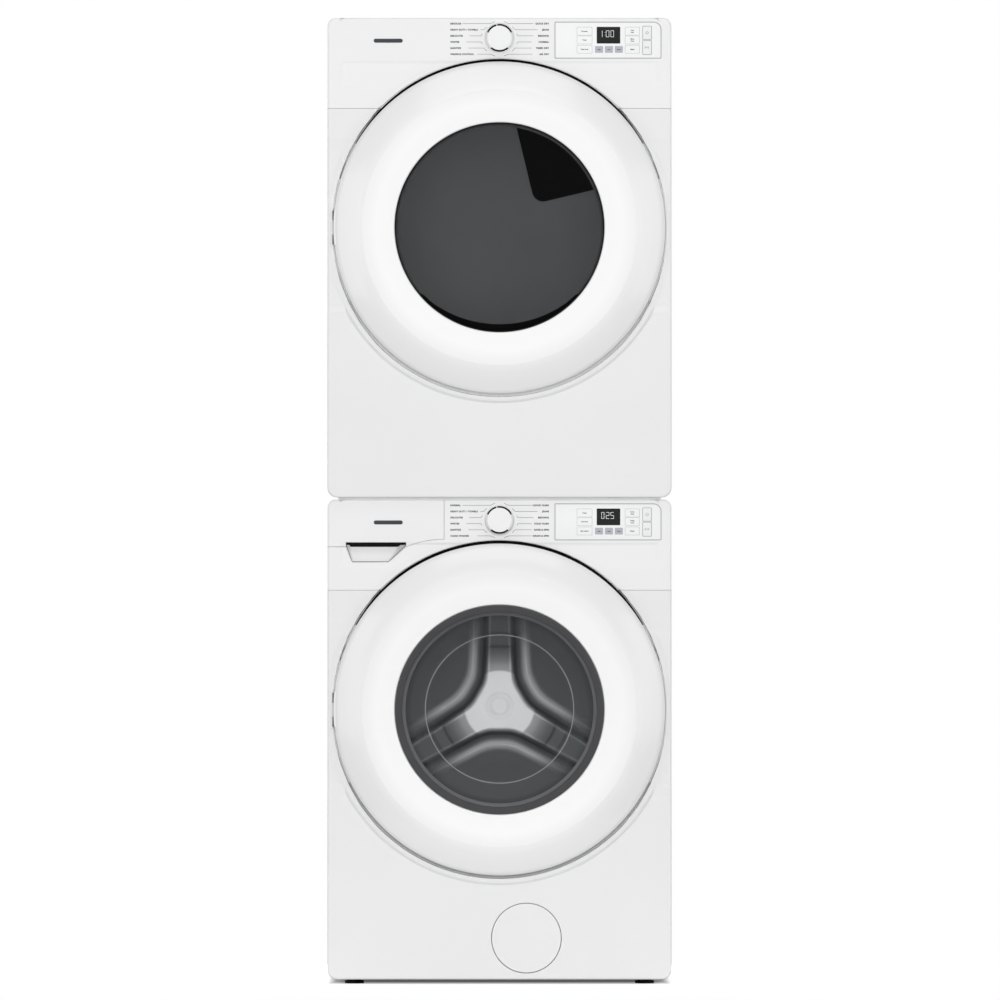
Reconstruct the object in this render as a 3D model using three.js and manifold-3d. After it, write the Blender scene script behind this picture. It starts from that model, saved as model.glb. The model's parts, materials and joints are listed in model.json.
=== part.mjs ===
// A full-width front-loading washer with a matching electric dryer stacked on top of it.
// Millimetres, +Z up, the fronts face -Y. The origin is on the floor, under the middle of the whole stack.
// Both machines share one cabinet, console and door design, so each shared piece is one function that is
// called once per machine. Inside a machine's group, z is the height above that cabinet's own underside.

import * as THREE from "three";
import { mergeVertices } from "three/addons/utils/BufferGeometryUtils.js";
import Module from "manifold-3d";

const wasm = await Module();
wasm.setup();

// ---------------------------------------------------------------- driving dimensions

const WIDTH = 686; // 27 inch cabinet
const HEIGHT = 957; // one cabinet, without feet
const FOOT_GAP = 10; // floor to the washer's underside
const STACK_GAP = 4; // washer top to dryer underside, filled by the stacking pads
const HALF = WIDTH / 2;
const GAP = 0.5; // between touching pieces
const SHEET = 1.5; // pressed steel
const WALL = 3; // moulded plastic

const Y_JOIN = -328; // where the front pieces meet the cabinet shell
const Y_REAR = 350; // outside of the rear wall
const Y_REARMOST = 393; // end of the exhaust collar
const FACE_CONSOLE = -338.5;
const FACE_BROW = -344;
const FACE_MIDDLE = -350;
const FACE_LOWER = -358;

const Z_BASE_TOP = 22; // the base pan's upturned edge
const Z_LID = HEIGHT - 22; // underside of the top lid
const Z_PARTING = HEIGHT - 180.5; // console above, front panel below
const R_TOP_CORNER = 16;
const R_BOTTOM_CORNER = 20;

const DOOR_Z = 538.5; // door, drum and glass centre
const DOOR_R = 331;
const DOOR_BACK = -353;
const DOOR_RIDGE_R = 274;
const DOOR_RIDGE_Y = -393;
const GLASS_R = 209; // visible edge of the glass
const DOOR_LIP_Y = -382;
const MOUTH_R = 212; // opening in the front panel
const RECESS_R = 346; // round recess that the door sits in
const HINGE_X = -329;
const HINGE_Y = -361;
const PIN_R = 2;

const ROUND = 24; // sides of a large circle
const RING = 32; // sides of the door rings and the recess round them
const SMALL = 12; // sides of a small circle

// ---------------------------------------------------------------- solids from three.js geometry

function solid(geometry) {
  const bare = geometry.index ? geometry.toNonIndexed() : geometry.clone();
  bare.deleteAttribute("normal");
  bare.deleteAttribute("uv");
  const merged = mergeVertices(bare, 1e-4);
  const index = merged.index.array;
  const kept = [];
  for (let i = 0; i < index.length; i += 3) {
    const [a, b, c] = [index[i], index[i + 1], index[i + 2]];
    if (a !== b && b !== c && a !== c) kept.push(a, b, c);
  }
  const vertProperties = merged.attributes.position.array;
  const build = (tris) =>
    new wasm.Manifold(new wasm.Mesh({ numProp: 3, vertProperties, triVerts: new Uint32Array(tris) }));
  const made = build(kept);
  return made.volume() < 0 ? build(kept.reverse()) : made;
}

function box(x0, x1, y0, y1, z0, z1) {
  const geometry = new THREE.BoxGeometry(x1 - x0, y1 - y0, z1 - z0);
  return solid(geometry.translate((x0 + x1) / 2, (y0 + y1) / 2, (z0 + z1) / 2));
}

// A round bar along Y, with its axis at (x, z).
function rodY(radius, y0, y1, x = 0, z = 0, sides = SMALL) {
  return solid(new THREE.CylinderGeometry(radius, radius, y1 - y0, sides).translate(x, (y0 + y1) / 2, z));
}

function rodZ(radius, z0, z1, x = 0, y = 0, sides = SMALL) {
  const geometry = new THREE.CylinderGeometry(radius, radius, z1 - z0, sides).rotateX(Math.PI / 2);
  return solid(geometry.translate(x, y, (z0 + z1) / 2));
}

// A turned piece about Y: profile is a closed list of [radius, y]. turn shifts where its facets start.
function turned(profile, x = 0, z = 0, sides = ROUND) {
  const points = [...profile, profile[0]].map(([r, y]) => new THREE.Vector2(r, y));
  return solid(new THREE.LatheGeometry(points, sides).translate(x, 0, z));
}

function shapeOf(points) {
  return points instanceof THREE.Shape
    ? points
    : new THREE.Shape(points.map(([u, v]) => new THREE.Vector2(u, v)));
}

function extruded(points, depth, curveSegments) {
  return new THREE.ExtrudeGeometry(shapeOf(points), { depth, bevelEnabled: false, curveSegments });
}

// A section in [y, z], carried from x0 to x1.
function alongX(points, x0, x1, curveSegments = 4) {
  const turn = new THREE.Matrix4().set(0, 0, 1, x0, 1, 0, 0, 0, 0, 1, 0, 0, 0, 0, 0, 1);
  return solid(extruded(points, x1 - x0, curveSegments).applyMatrix4(turn));
}

// A section in [x, z], carried from y0 to y1.
function alongY(points, y0, y1, curveSegments = 4) {
  const turn = new THREE.Matrix4().set(1, 0, 0, 0, 0, 0, 1, y0, 0, 1, 0, 0, 0, 0, 0, 1);
  return solid(extruded(points, y1 - y0, curveSegments).applyMatrix4(turn));
}

function roundedRect(x0, x1, z0, z1, bottomLeft, bottomRight, topRight, topLeft) {
  const shape = new THREE.Shape();
  const corner = (x, z, r, from) => {
    if (r > 0) shape.absarc(x, z, r, from, from + Math.PI / 2, false);
    else shape.lineTo(x, z);
  };
  shape.moveTo(x0 + bottomLeft, z0);
  corner(x1 - bottomRight, z0 + bottomRight, bottomRight, -Math.PI / 2);
  corner(x1 - topRight, z1 - topRight, topRight, 0);
  corner(x0 + topLeft, z1 - topLeft, topLeft, Math.PI / 2);
  corner(x0 + bottomLeft, z0 + bottomLeft, bottomLeft, Math.PI);
  return shape;
}

const joined = (...solids) => solids.reduce((a, b) => a.add(b));
const without = (first, ...cuts) => cuts.reduce((a, b) => a.subtract(b), first);

const FINISH = {
  white_enamel: { color: 0xf1f2f3, roughness: 0.25, metalness: 0 },
  white_plastic: { color: 0xf4f4f4, roughness: 0.35, metalness: 0 },
  grey_plastic: { color: 0xb9bcc0, roughness: 0.5, metalness: 0 },
  dark_plastic: { color: 0x3b3c3e, roughness: 0.45, metalness: 0 },
  black_plastic: { color: 0x141415, roughness: 0.4, metalness: 0 },
  clear_glass: { color: 0xcfd6da, roughness: 0.02, metalness: 0 },
  smoked_glass: { color: 0x3a3a3b, roughness: 0.03, metalness: 0 },
  grey_rubber: { color: 0x5e6062, roughness: 0.6, metalness: 0 },
  black_rubber: { color: 0x1d1d1e, roughness: 0.7, metalness: 0 },
  stainless: { color: 0xc6c8ca, roughness: 0.22, metalness: 1 },
  galvanised: { color: 0xa9adb0, roughness: 0.45, metalness: 1 },
};

const stack = new THREE.Group();
const washer = new THREE.Group();
const dryer = new THREE.Group();
washer.position.z = FOOT_GAP;
dryer.position.z = FOOT_GAP + HEIGHT + STACK_GAP;
stack.add(washer, dryer);

function add(group, name, finish, body) {
  const mesh = body.getMesh();
  const geometry = new THREE.BufferGeometry();
  geometry.setAttribute("position", new THREE.BufferAttribute(new Float32Array(mesh.vertProperties), 3));
  geometry.setIndex(new THREE.BufferAttribute(new Uint32Array(mesh.triVerts), 1));
  geometry.computeVertexNormals();
  const made = new THREE.Mesh(geometry, new THREE.MeshStandardMaterial(FINISH[finish]));
  made.name = name;
  group.add(made);
}

// ---------------------------------------------------------------- cabinet shell

const SERVICE = { x: 235, z0: 180, z1: 800 }; // opening in the rear wall

// One folded sheet makes both sides and the rear wall. The rear has a service opening.
function cabinet(...holes) {
  const z0 = Z_BASE_TOP + GAP;
  const z1 = Z_LID - GAP;
  const outside = box(-HALF, HALF, Y_JOIN + GAP, Y_REAR, z0, z1);
  const inside = box(-HALF + SHEET, HALF - SHEET, Y_JOIN - 10, Y_REAR - SHEET, z0 - 1, z1 + 1);
  const lip = 14; // stiffening fold along the front edges
  const fold = (x0, x1) => box(x0, x1, Y_JOIN + GAP, Y_JOIN + GAP + SHEET, z0, z1);
  const folds = joined(fold(-HALF + 0.5, -HALF + lip), fold(HALF - lip, HALF - 0.5));
  const service = box(-SERVICE.x, SERVICE.x, Y_REAR - 10, Y_REAR + 10, SERVICE.z0, SERVICE.z1);
  return without(joined(without(outside, inside), folds), service, ...holes);
}

// Service cover: a flat sheet with a shallow pressed panel that stands out of it.
function rearCover() {
  const edge = 18;
  const y0 = Y_REAR + GAP;
  const sheet = box(-SERVICE.x - edge, SERVICE.x + edge, y0, y0 + SHEET, SERVICE.z0 - edge, SERVICE.z1 + edge);
  const panel = box(-170, 170, y0 + SHEET - 0.2, y0 + 7, SERVICE.z0 + 60, SERVICE.z1 - 60);
  const behind = box(-168, 168, y0 - 1, y0 + 5.5, SERVICE.z0 + 62, SERVICE.z1 - 62);
  return without(joined(sheet, panel), behind);
}

// Base pan: a tray whose lower side edges are rounded.
function base(...holes) {
  const outer = roundedRect(-HALF, HALF, 0, Z_BASE_TOP, R_BOTTOM_CORNER, R_BOTTOM_CORNER, 0, 0);
  const inner = roundedRect(-HALF + 3, HALF - 3, 3, 60, R_BOTTOM_CORNER - 3, R_BOTTOM_CORNER - 3, 0, 0);
  const tray = alongY(outer, Y_JOIN + GAP, Y_REAR);
  return without(tray, alongY(inner, Y_JOIN + GAP + 3, Y_REAR - 3), ...holes);
}

// Top lid: a pressed cover with rounded side edges, open underneath.
function lid() {
  const outer = roundedRect(-HALF, HALF, Z_LID, HEIGHT, 0, 0, R_TOP_CORNER, R_TOP_CORNER);
  const inner = roundedRect(-HALF + 2, HALF - 2, Z_LID - 9, HEIGHT - 2, 0, 0, R_TOP_CORNER - 2, R_TOP_CORNER - 2);
  const cover = alongY(outer, Y_JOIN + GAP, Y_REAR);
  return without(cover, alongY(inner, Y_JOIN + GAP + 2, Y_REAR - 2));
}

// ---------------------------------------------------------------- front panel

// The panel steps forward twice on its way down, and a round recess clears the door. inset makes the same
// form a wall's thickness inside, which hollows the pressing.
function panelForm(inset) {
  const back = inset ? Y_JOIN + 20 : Y_JOIN;
  const top = Z_PARTING - GAP - inset;
  const section = [
    [back, inset],
    [FACE_LOWER + inset, inset],
    [FACE_LOWER + inset, 358],
    [FACE_MIDDLE + inset, 392],
    [FACE_MIDDLE + inset, 685],
    [FACE_BROW + inset, 719],
    [FACE_BROW + inset, top],
    [back, top],
  ];
  const outline = roundedRect(
    -HALF + inset, HALF - inset, inset, HEIGHT, R_BOTTOM_CORNER - inset, R_BOTTOM_CORNER - inset, 0, 0,
  );
  const form = alongX(section, -HALF, HALF).intersect(alongY(outline, -500, 0));
  const recess = [
    [0.01, FACE_MIDDLE + inset],
    [RECESS_R + inset, FACE_MIDDLE + inset],
    [RECESS_R + inset + 7, -380],
    [0.01, -380],
  ];
  return without(form, turned(recess, 0, DOOR_Z, RING));
}

function frontPanel(...holes) {
  const sheet = 2;
  const mouth = rodY(MOUTH_R, -400, 0, 0, DOOR_Z, ROUND);
  return without(panelForm(0), panelForm(sheet), mouth, ...holes);
}

// ---------------------------------------------------------------- console

const KNOB_Z = HEIGHT - 40.5;
const LENS = { x0: 110.5, x1: 322.5, z0: HEIGHT - 80.6, z1: HEIGHT - 8.2 };
const KEYS = {
  power: { x0: 286.2, x1: 302.6, z0: HEIGHT - 42.5, z1: HEIGHT - 17.1 },
  start: { x0: 286.2, x1: 302.6, z0: HEIGHT - 72.6, z1: HEIGHT - 45.7 },
};
const KEY_CLEARANCE = 0.4;
const LENS_BACK = FACE_CONSOLE + 1.2;

function consoleForm(inset) {
  const back = inset ? Y_JOIN + 20 : Y_JOIN;
  const section = [
    [back, Z_PARTING + inset],
    [FACE_BROW + inset, Z_PARTING + inset],
    [FACE_BROW + inset, 820],
    [FACE_CONSOLE + 1.5 + inset, 866],
    [FACE_CONSOLE + inset, 871],
    [FACE_CONSOLE + inset, HEIGHT - 7.5],
    [FACE_CONSOLE + 2.5 + inset, HEIGHT - 2.5 - inset],
    [FACE_CONSOLE + 6.5 + inset, HEIGHT - inset],
    [back, HEIGHT - inset],
  ];
  const outline = roundedRect(
    -HALF + inset, HALF - inset, 0, HEIGHT - inset, 0, 0, R_TOP_CORNER - inset, R_TOP_CORNER - inset,
  );
  return alongX(section, -HALF, HALF).intersect(alongY(outline, -500, 0));
}

const keyHole = ({ x0, x1, z0, z1 }, room = KEY_CLEARANCE) =>
  box(x0 - room, x1 + room, -400, 0, z0 - room, z1 + room);

function lensShape(room = 0) {
  const { x0, x1, z0, z1 } = LENS;
  return roundedRect(x0 - room, x1 + room, z0 - room, z1 + room, 0, 0, 15, 0);
}

function consoleBody() {
  const shell = without(consoleForm(0), consoleForm(WALL));
  const seat = alongY(lensShape(GAP), -400, LENS_BACK + GAP);
  const knobHole = rodY(4, -400, 0, 0, KNOB_Z);
  return without(shell, seat, knobHole, keyHole(KEYS.power), keyHole(KEYS.start));
}

function lens() {
  const plate = alongY(lensShape(), FACE_CONSOLE - 0.6, LENS_BACK);
  return without(plate, keyHole(KEYS.power), keyHole(KEYS.start));
}

// A key is a cap with a stem that reaches back through the console to its switch.
function key({ x0, x1, z0, z1 }) {
  const cap = box(x0, x1, FACE_CONSOLE - 1.6, FACE_CONSOLE + 2.5, z0, z1);
  const x = (x0 + x1) / 2;
  const z = (z0 + z1) / 2;
  return joined(cap, rodY(4, FACE_CONSOLE + 2, FACE_CONSOLE + 9, x, z, 12));
}

function knob() {
  const profile = [
    [0.01, -330],
    [3, -330],
    [3, FACE_CONSOLE - 1],
    [27.5, FACE_CONSOLE - 1],
    [27.5, FACE_CONSOLE - 5],
    [25.3, FACE_CONSOLE - 7],
    [24.6, FACE_CONSOLE - 22],
    [0.01, FACE_CONSOLE - 24],
  ];
  return turned(profile, 0, KNOB_Z, 20);
}

// ---------------------------------------------------------------- door

const KNUCKLE_R = 4;
const KNUCKLE_REACH = 34; // half the height of the hinge
const KNUCKLE_DOOR = 13; // half the height of the door's own knuckle

// The rim is cut away behind its front face where the hinge stands.
const hingeNotch = () =>
  box(-DOOR_R - 5, HINGE_X + 20, HINGE_Y - 5, -340, DOOR_Z - KNUCKLE_REACH - 3, DOOR_Z + KNUCKLE_REACH + 3);

// Grip: a gap behind the rim for the fingers, on the side away from the hinge.
const GRIP = { x: 298, y: -361, half: 62 };
const gripCut = () => box(GRIP.x, DOOR_R + 5, GRIP.y, -340, DOOR_Z - GRIP.half, DOOR_Z + GRIP.half);

function doorFrame() {
  const rim = DOOR_R - WALL - 0.5;
  const ring = turned([
    [DOOR_R, DOOR_BACK],
    [DOOR_R, -364],
    [DOOR_R - 5, -370],
    [DOOR_RIDGE_R, DOOR_RIDGE_Y],
    [GLASS_R, DOOR_LIP_Y],
    [GLASS_R, DOOR_LIP_Y + 4],
    [DOOR_RIDGE_R - 1, DOOR_RIDGE_Y + 4],
    [rim, -365],
    [rim, DOOR_BACK],
  ], 0, DOOR_Z, RING);
  const z0 = DOOR_Z - KNUCKLE_DOOR;
  const z1 = DOOR_Z + KNUCKLE_DOOR;
  const barrel = rodZ(KNUCKLE_R, z0, z1, HINGE_X, HINGE_Y);
  const arm = box(HINGE_X, HINGE_X + 18, HINGE_Y - KNUCKLE_R, HINGE_Y - 0.5, z0, z1);
  const root = box(HINGE_X + 9, HINGE_X + 18, -371, HINGE_Y - 1, z0, z1);
  const bore = rodZ(PIN_R + 0.5, z0 - 5, z1 + 5, HINGE_X, HINGE_Y);
  return without(joined(without(ring, hingeNotch(), gripCut()), barrel, arm, root), bore);
}

// The hook on the liner's right side drops into the slot of the lock behind the front panel.
const HOOK = { x0: 240, x1: 248, half: 8, tip: -338 };
const hookSlot = () => box(HOOK.x0 - 4, HOOK.x1 + 4, -400, -330, DOOR_Z - 12, DOOR_Z + 12);

function doorLiner() {
  const seat = GLASS_SEAT;
  const edge = DOOR_R - WALL - 3;
  const plate = turned([
    [200, seat],
    [226, seat],
    [229, -356.4],
    [edge, -356.4],
    [edge, DOOR_BACK + 0.2],
    [225, DOOR_BACK + 0.2],
    [222, seat + 3],
    [200, seat + 3],
  ], 0, DOOR_Z);
  const hook = joined(
    box(HOOK.x0, HOOK.x1, -354, HOOK.tip, DOOR_Z - HOOK.half, DOOR_Z + HOOK.half - 6),
    box(HOOK.x0, HOOK.x1, HOOK.tip - 5, HOOK.tip, DOOR_Z - HOOK.half, DOOR_Z + HOOK.half),
  );
  return joined(without(plate, hingeNotch(), gripCut()), hook);
}

// The washer's glass is a pressed bowl that reaches through the gasket towards the drum.
function bowlGlass() {
  const front = GLASS_SEAT - 4.6;
  return turned([
    [0.01, -252],
    [90, -255],
    [148, -276],
    [180, GLASS_SEAT - 0.6],
    [220, GLASS_SEAT - 0.6],
    [220, front],
    [176, front],
    [144, -281],
    [90, -260],
    [0.01, -257],
  ], 0, DOOR_Z);
}

function flatGlass() {
  return rodY(220, GLASS_SEAT - 4.6, GLASS_SEAT - 0.6, 0, DOOR_Z, ROUND);
}

// The dryer's liner carries a round plug that closes the mouth.
function plugLiner() {
  const plug = turned([
    [201, GLASS_SEAT + 1],
    [206, GLASS_SEAT + 1],
    [206, -350],
    [200, -322],
    [178, -322],
    [178, -325],
    [197, -327],
    [201, -350],
  ], 0, DOOR_Z);
  return joined(doorLiner(), plug);
}

// The cabinet's half of the hinge: a leaf on the panel, two knuckles and the pin.
function hinge() {
  const leafY = [FACE_MIDDLE - 2.4, FACE_MIDDLE - 0.4];
  const knuckle = (z0, z1) =>
    joined(
      rodZ(KNUCKLE_R, z0, z1, HINGE_X, HINGE_Y),
      box(HINGE_X - 2, HINGE_X + 2, HINGE_Y, leafY[1], z0, z1),
    );
  const leaf = box(HINGE_X - 2, HINGE_X + 13, ...leafY, DOOR_Z - KNUCKLE_REACH, DOOR_Z + KNUCKLE_REACH);
  return joined(
    knuckle(DOOR_Z - KNUCKLE_REACH, DOOR_Z - KNUCKLE_DOOR - 1),
    knuckle(DOOR_Z + KNUCKLE_DOOR + 1, DOOR_Z + KNUCKLE_REACH),
    leaf,
    rodZ(PIN_R, DOOR_Z - KNUCKLE_REACH, DOOR_Z + KNUCKLE_REACH, HINGE_X, HINGE_Y),
  );
}

const GLASS_SEAT = -372;

// The pieces that both machines have. The four that differ between them are handed in ready cut.
function sharedPieces(group, prefix, { shell, pan, panel, fascia }) {
  add(group, `${prefix}_cabinet`, "white_enamel", shell);
  add(group, `${prefix}_rear_cover`, "galvanised", rearCover());
  add(group, `${prefix}_base`, "galvanised", pan);
  add(group, `${prefix}_front_panel`, "white_enamel", panel);
  add(group, `${prefix}_console`, "white_plastic", fascia);
  add(group, `${prefix}_control_lens`, "white_plastic", lens());
  add(group, `${prefix}_knob`, "white_plastic", knob());
  add(group, `${prefix}_power_key`, "grey_plastic", key(KEYS.power));
  add(group, `${prefix}_start_key`, "grey_plastic", key(KEYS.start));
  add(group, `${prefix}_door_frame`, "white_plastic", doorFrame());
  add(group, `${prefix}_door_hinge`, "galvanised", hinge());
}

// ---------------------------------------------------------------- washer: dispenser

const DRAWER = { x1: -110.7, z0: HEIGHT - 95.3, step: HEIGHT - 81.8, arc: 371 };
const POCKET = { x0: -306.5, x1: -186.3, z0: HEIGHT - 125.4, foot0: -294, foot1: -221.2, notch: HEIGHT - 86.5 };

// Outline of the drawer's face: level at the left, then round the door, then level to its right end.
function drawerOutline(room) {
  const at = (z) => -Math.sqrt(DRAWER.arc ** 2 - (z - DOOR_Z) ** 2);
  const outline = [
    [-HALF - 5, DRAWER.z0 - room],
    [at(DRAWER.z0), DRAWER.z0 - room],
  ];
  const steps = 4;
  for (let i = 1; i <= steps; i++) {
    const z = DRAWER.z0 + ((DRAWER.step - DRAWER.z0) * i) / steps;
    outline.push([at(z), z - room]);
  }
  outline.push([DRAWER.x1 + room, DRAWER.step - room], [DRAWER.x1 + room, HEIGHT + 5], [-HALF - 5, HEIGHT + 5]);
  return outline;
}

// Finger pocket under the drawer: a slanted floor behind, with flared sides.
function pocketSpace() {
  const { x0, x1, z0, foot0, foot1, notch } = POCKET;
  const mouth = [[foot0, z0], [foot1, z0], [x1, DRAWER.z0], [x1, notch], [x0, notch], [x0, DRAWER.z0]];
  const reach = alongY(mouth, -400, 0);
  const depth = [[-400, z0], [FACE_BROW + 3, z0], [-322, HEIGHT - 100], [-322, notch], [-400, notch]];
  return reach.intersect(alongX(depth, x0 - 1, x1 + 1));
}

// The pocket's own wall, moulded as part of the console.
function pocketWall() {
  const { x0, x1, z0 } = POCKET;
  const section = [
    [FACE_BROW + 1, z0 - WALL],
    [FACE_BROW + 5, z0 - WALL],
    [-319, HEIGHT - 103],
    [-319, DRAWER.z0 - GAP - 1.5],
    [-341, DRAWER.z0 - GAP - 1.5],
  ];
  return alongX(section, x0 - WALL, x1 + WALL).intersect(consoleForm(0).add(box(-HALF, HALF, -329, -300, 0, HEIGHT)));
}

const TRAY = { x0: -318, x1: -130, y1: -30, z0: 876, z1: 922 };

function washerConsole() {
  const drawerCut = alongY(drawerOutline(GAP), -500, 0);
  const shell = without(consoleBody(), drawerCut);
  return without(joined(shell, pocketWall()), pocketSpace());
}

function drawerFront() {
  const face = consoleForm(0).intersect(alongY(drawerOutline(-GAP), -500, 0));
  const hollow = consoleForm(WALL).intersect(alongY(drawerOutline(-GAP - WALL), -500, 0));
  const notch = box(POCKET.x0, POCKET.x1, -400, -300, 0, POCKET.notch);
  const flange = box(-HALF + 4, DRAWER.x1 - 2, Y_JOIN - 2.5, Y_JOIN, DRAWER.step + 1, HEIGHT - 12);
  return without(joined(without(face, hollow), flange), notch);
}

function drawerTray() {
  const { x0, x1, y1, z0, z1 } = TRAY;
  const body = box(x0, x1, Y_JOIN + GAP, y1, z0, z1);
  const front = Y_JOIN + 4;
  const main = box(x0 + 2, -214, front, y1 - 2, z0 + 2, z1 + 5);
  const softener = box(-212, x1 - 2, front, -190, z0 + 2, z1 + 5);
  const bleach = box(-212, x1 - 2, -188, y1 - 2, z0 + 2, z1 + 5);
  return without(body, main, softener, bleach);
}

function dispenserHousing() {
  const { x0, x1, y1, z0, z1 } = TRAY;
  const outer = box(x0 - 6, x1 + 6, -326, y1 + 30, z0 - 5, z1 + 9);
  const inner = box(x0 - 3, x1 + 3, -340, y1 + 27, z0 - 2, z1 + 6);
  const spout = rodZ(18, z0 - 30, z0 - 3, (x0 + x1) / 2, y1 - 10);
  return joined(without(outer, inner), spout);
}

// ---------------------------------------------------------------- washer: tub, drum and drive

const TUB = { r: 291, y0: -290, y1: 186 };
const DRUM = { r: 270, y0: -272, y1: 166 };

function gasket() {
  return turned([
    [MOUTH_R - 1, -346],
    [194, -346],
    [186, -340],
    [200, -330],
    [194, -320],
    [212, -304],
    [222, -291],
    [228, -291],
    [217, -307],
    [200.5, -319.5],
    [207, -331],
    [197, -339.5],
    [MOUTH_R - 1, -341],
  ], 0, DOOR_Z);
}

const STRUT = { x: 190, y: -60 };

function tub() {
  const shell = turned([
    [217, TUB.y0],
    [TUB.r, TUB.y0 + 14],
    [TUB.r, TUB.y1 - 6],
    [60, TUB.y1 + 6],
    [54, 222],
    [21, 222],
    [21, TUB.y1],
    [TUB.r - 5, TUB.y1 - 12],
    [TUB.r - 5, TUB.y0 + 18],
    [217, TUB.y0 + 4],
  ], 0, DOOR_Z);
  const lug = (side) =>
    box(side * STRUT.x - 12, side * STRUT.x + 12, STRUT.y - 14, STRUT.y + 14, 300, 326);
  const inside = rodY(TUB.r - 4, TUB.y0 + 20, TUB.y1 - 14, 0, DOOR_Z, ROUND);
  return joined(shell, without(joined(lug(-1), lug(1)), inside));
}

// Strut: a damper inside a coil spring. It stands on the base and carries the tub.
function strut(side) {
  const [x, y] = [side * STRUT.x, STRUT.y];
  return joined(
    box(x - 16, x + 16, y - 12, y + 12, 3.5, 24),
    rodZ(11, 20, 190, x, y),
    rodZ(24, 120, 128, x, y),
    rodZ(6, 180, 299.5, x, y),
    rodZ(22, 126, 268, x, y),
  );
}

const ARMS = [90, 210, 330].map((deg) => (deg * Math.PI) / 180);

// Baffle: a tapered ridge along the drum wall. It points up as built, and is turned about the drum's axis.
function baffle(radius, height, halfBase, halfTip, y0, y1, angle) {
  const section = [
    [-halfBase, radius],
    [-halfTip, radius - height],
    [halfTip, radius - height],
    [halfBase, radius],
  ];
  const geometry = extruded(section, y1 - y0);
  const stand = new THREE.Matrix4().set(1, 0, 0, 0, 0, 0, 1, y0, 0, 1, 0, 0, 0, 0, 0, 1);
  const aim = new THREE.Matrix4().makeRotationY(Math.PI / 2 - angle);
  const place = new THREE.Matrix4().makeTranslation(0, 0, DOOR_Z);
  return solid(geometry.applyMatrix4(stand).applyMatrix4(aim).applyMatrix4(place));
}

// Spider arm: a raised rib pressed into the drum's rear wall, from the hub to the rim.
function spiderArm(angle) {
  return baffle(DRUM.r - 4, DRUM.r - 4, 21, 29, DRUM.y1 - 34, DRUM.y1 - 2, angle);
}

function washerDrum() {
  const { r, y0, y1 } = DRUM;
  const shell = turned([
    [224, y0],
    [r - 12, y0],
    [r, y0 + 12],
    [r, y1],
    [15, y1],
    [15, 262],
    [0.01, 262],
    [0.01, y1 - 4],
    [r - 2, y1 - 4],
    [r - 2, y0 + 13],
    [r - 13, y0 + 2],
    [224, y0 + 2],
  ], 0, DOOR_Z);
  const ridges = ARMS.map((angle) => baffle(r - 1, 58, 26, 16, y0 + 30, y1 - 3, angle));
  const hub = rodY(62, y1 - 38, y1 - 2, 0, DOOR_Z, 18);
  return joined(shell, hub, ...ARMS.map(spiderArm), ...ridges);
}

const PULLEY = { r: 140, y0: 236, y1: 256 };
const MOTOR = { x: -95, z: 165, r: 62, pulleyR: 12 };

function drumPulley() {
  const rim = turned([
    [PULLEY.r, PULLEY.y0],
    [PULLEY.r, PULLEY.y1],
    [PULLEY.r - 8, PULLEY.y1],
    [PULLEY.r - 8, PULLEY.y0],
  ], 0, DOOR_Z);
  const hub = rodY(34, PULLEY.y0, PULLEY.y1, 0, DOOR_Z);
  const spokes = [0, 1, 2].map((i) => {
    const spoke = new THREE.BoxGeometry(2 * PULLEY.r - 12, 8, 22);
    return solid(spoke.rotateY((i * Math.PI) / 3).translate(0, (PULLEY.y0 + PULLEY.y1) / 2, DOOR_Z));
  });
  const bore = rodY(15.6, 200, 300, 0, DOOR_Z, ROUND);
  return without(joined(rim, hub, ...spokes), bore);
}

// A belt round two pulleys: the outside of both circles and their tangents, less the same path inside.
const BELT_STEPS = 12;

function belt(big, small, thick, y0, y1) {
  const dx = small.x - big.x;
  const dz = small.z - big.z;
  const path = (grow) => {
    const [r0, r1] = [big.r + grow, small.r + grow];
    const along = Math.atan2(dz, dx);
    const lean = Math.acos((r0 - r1) / Math.hypot(dx, dz));
    const shape = new THREE.Shape();
    shape.absarc(big.x, big.z, r0, along + lean, along - lean + 2 * Math.PI, false);
    shape.absarc(small.x, small.z, r1, along - lean, along + lean, false);
    return shape;
  };
  const halfStep = (Math.PI - Math.acos((big.r - small.r) / Math.hypot(dx, dz))) / BELT_STEPS;
  const inside = (big.r + GAP) / Math.cos(halfStep) - big.r;
  return without(
    alongY(path(inside + thick), y0, y1, BELT_STEPS),
    alongY(path(inside), y0 - 1, y1 + 1, BELT_STEPS),
  );
}

function washerBelt() {
  const big = { x: 0, z: DOOR_Z, r: PULLEY.r };
  return belt(big, { x: MOTOR.x, z: MOTOR.z, r: MOTOR.pulleyR }, 3, PULLEY.y0 + 3, PULLEY.y1 - 3);
}

function washerMotor() {
  const body = rodY(MOTOR.r, 40, 215, MOTOR.x, MOTOR.z, 20);
  const bracket = box(MOTOR.x - 24, MOTOR.x + 20, 90, 130, MOTOR.z + 50, 254);
  const bore = rodY(5.6, 190, 300, MOTOR.x, MOTOR.z);
  return without(joined(body, bracket), bore);
}

function motorPulley() {
  return joined(
    rodY(MOTOR.pulleyR, PULLEY.y0 - 2, PULLEY.y1 + 2, MOTOR.x, MOTOR.z),
    rodY(5, 200, PULLEY.y0, MOTOR.x, MOTOR.z, 12),
  );
}

// ---------------------------------------------------------------- washer: pump, lock, valve and feet

const FILTER = { x: 53.6, z: 82.8, coverR: 69.5, capR: 34 };

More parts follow.
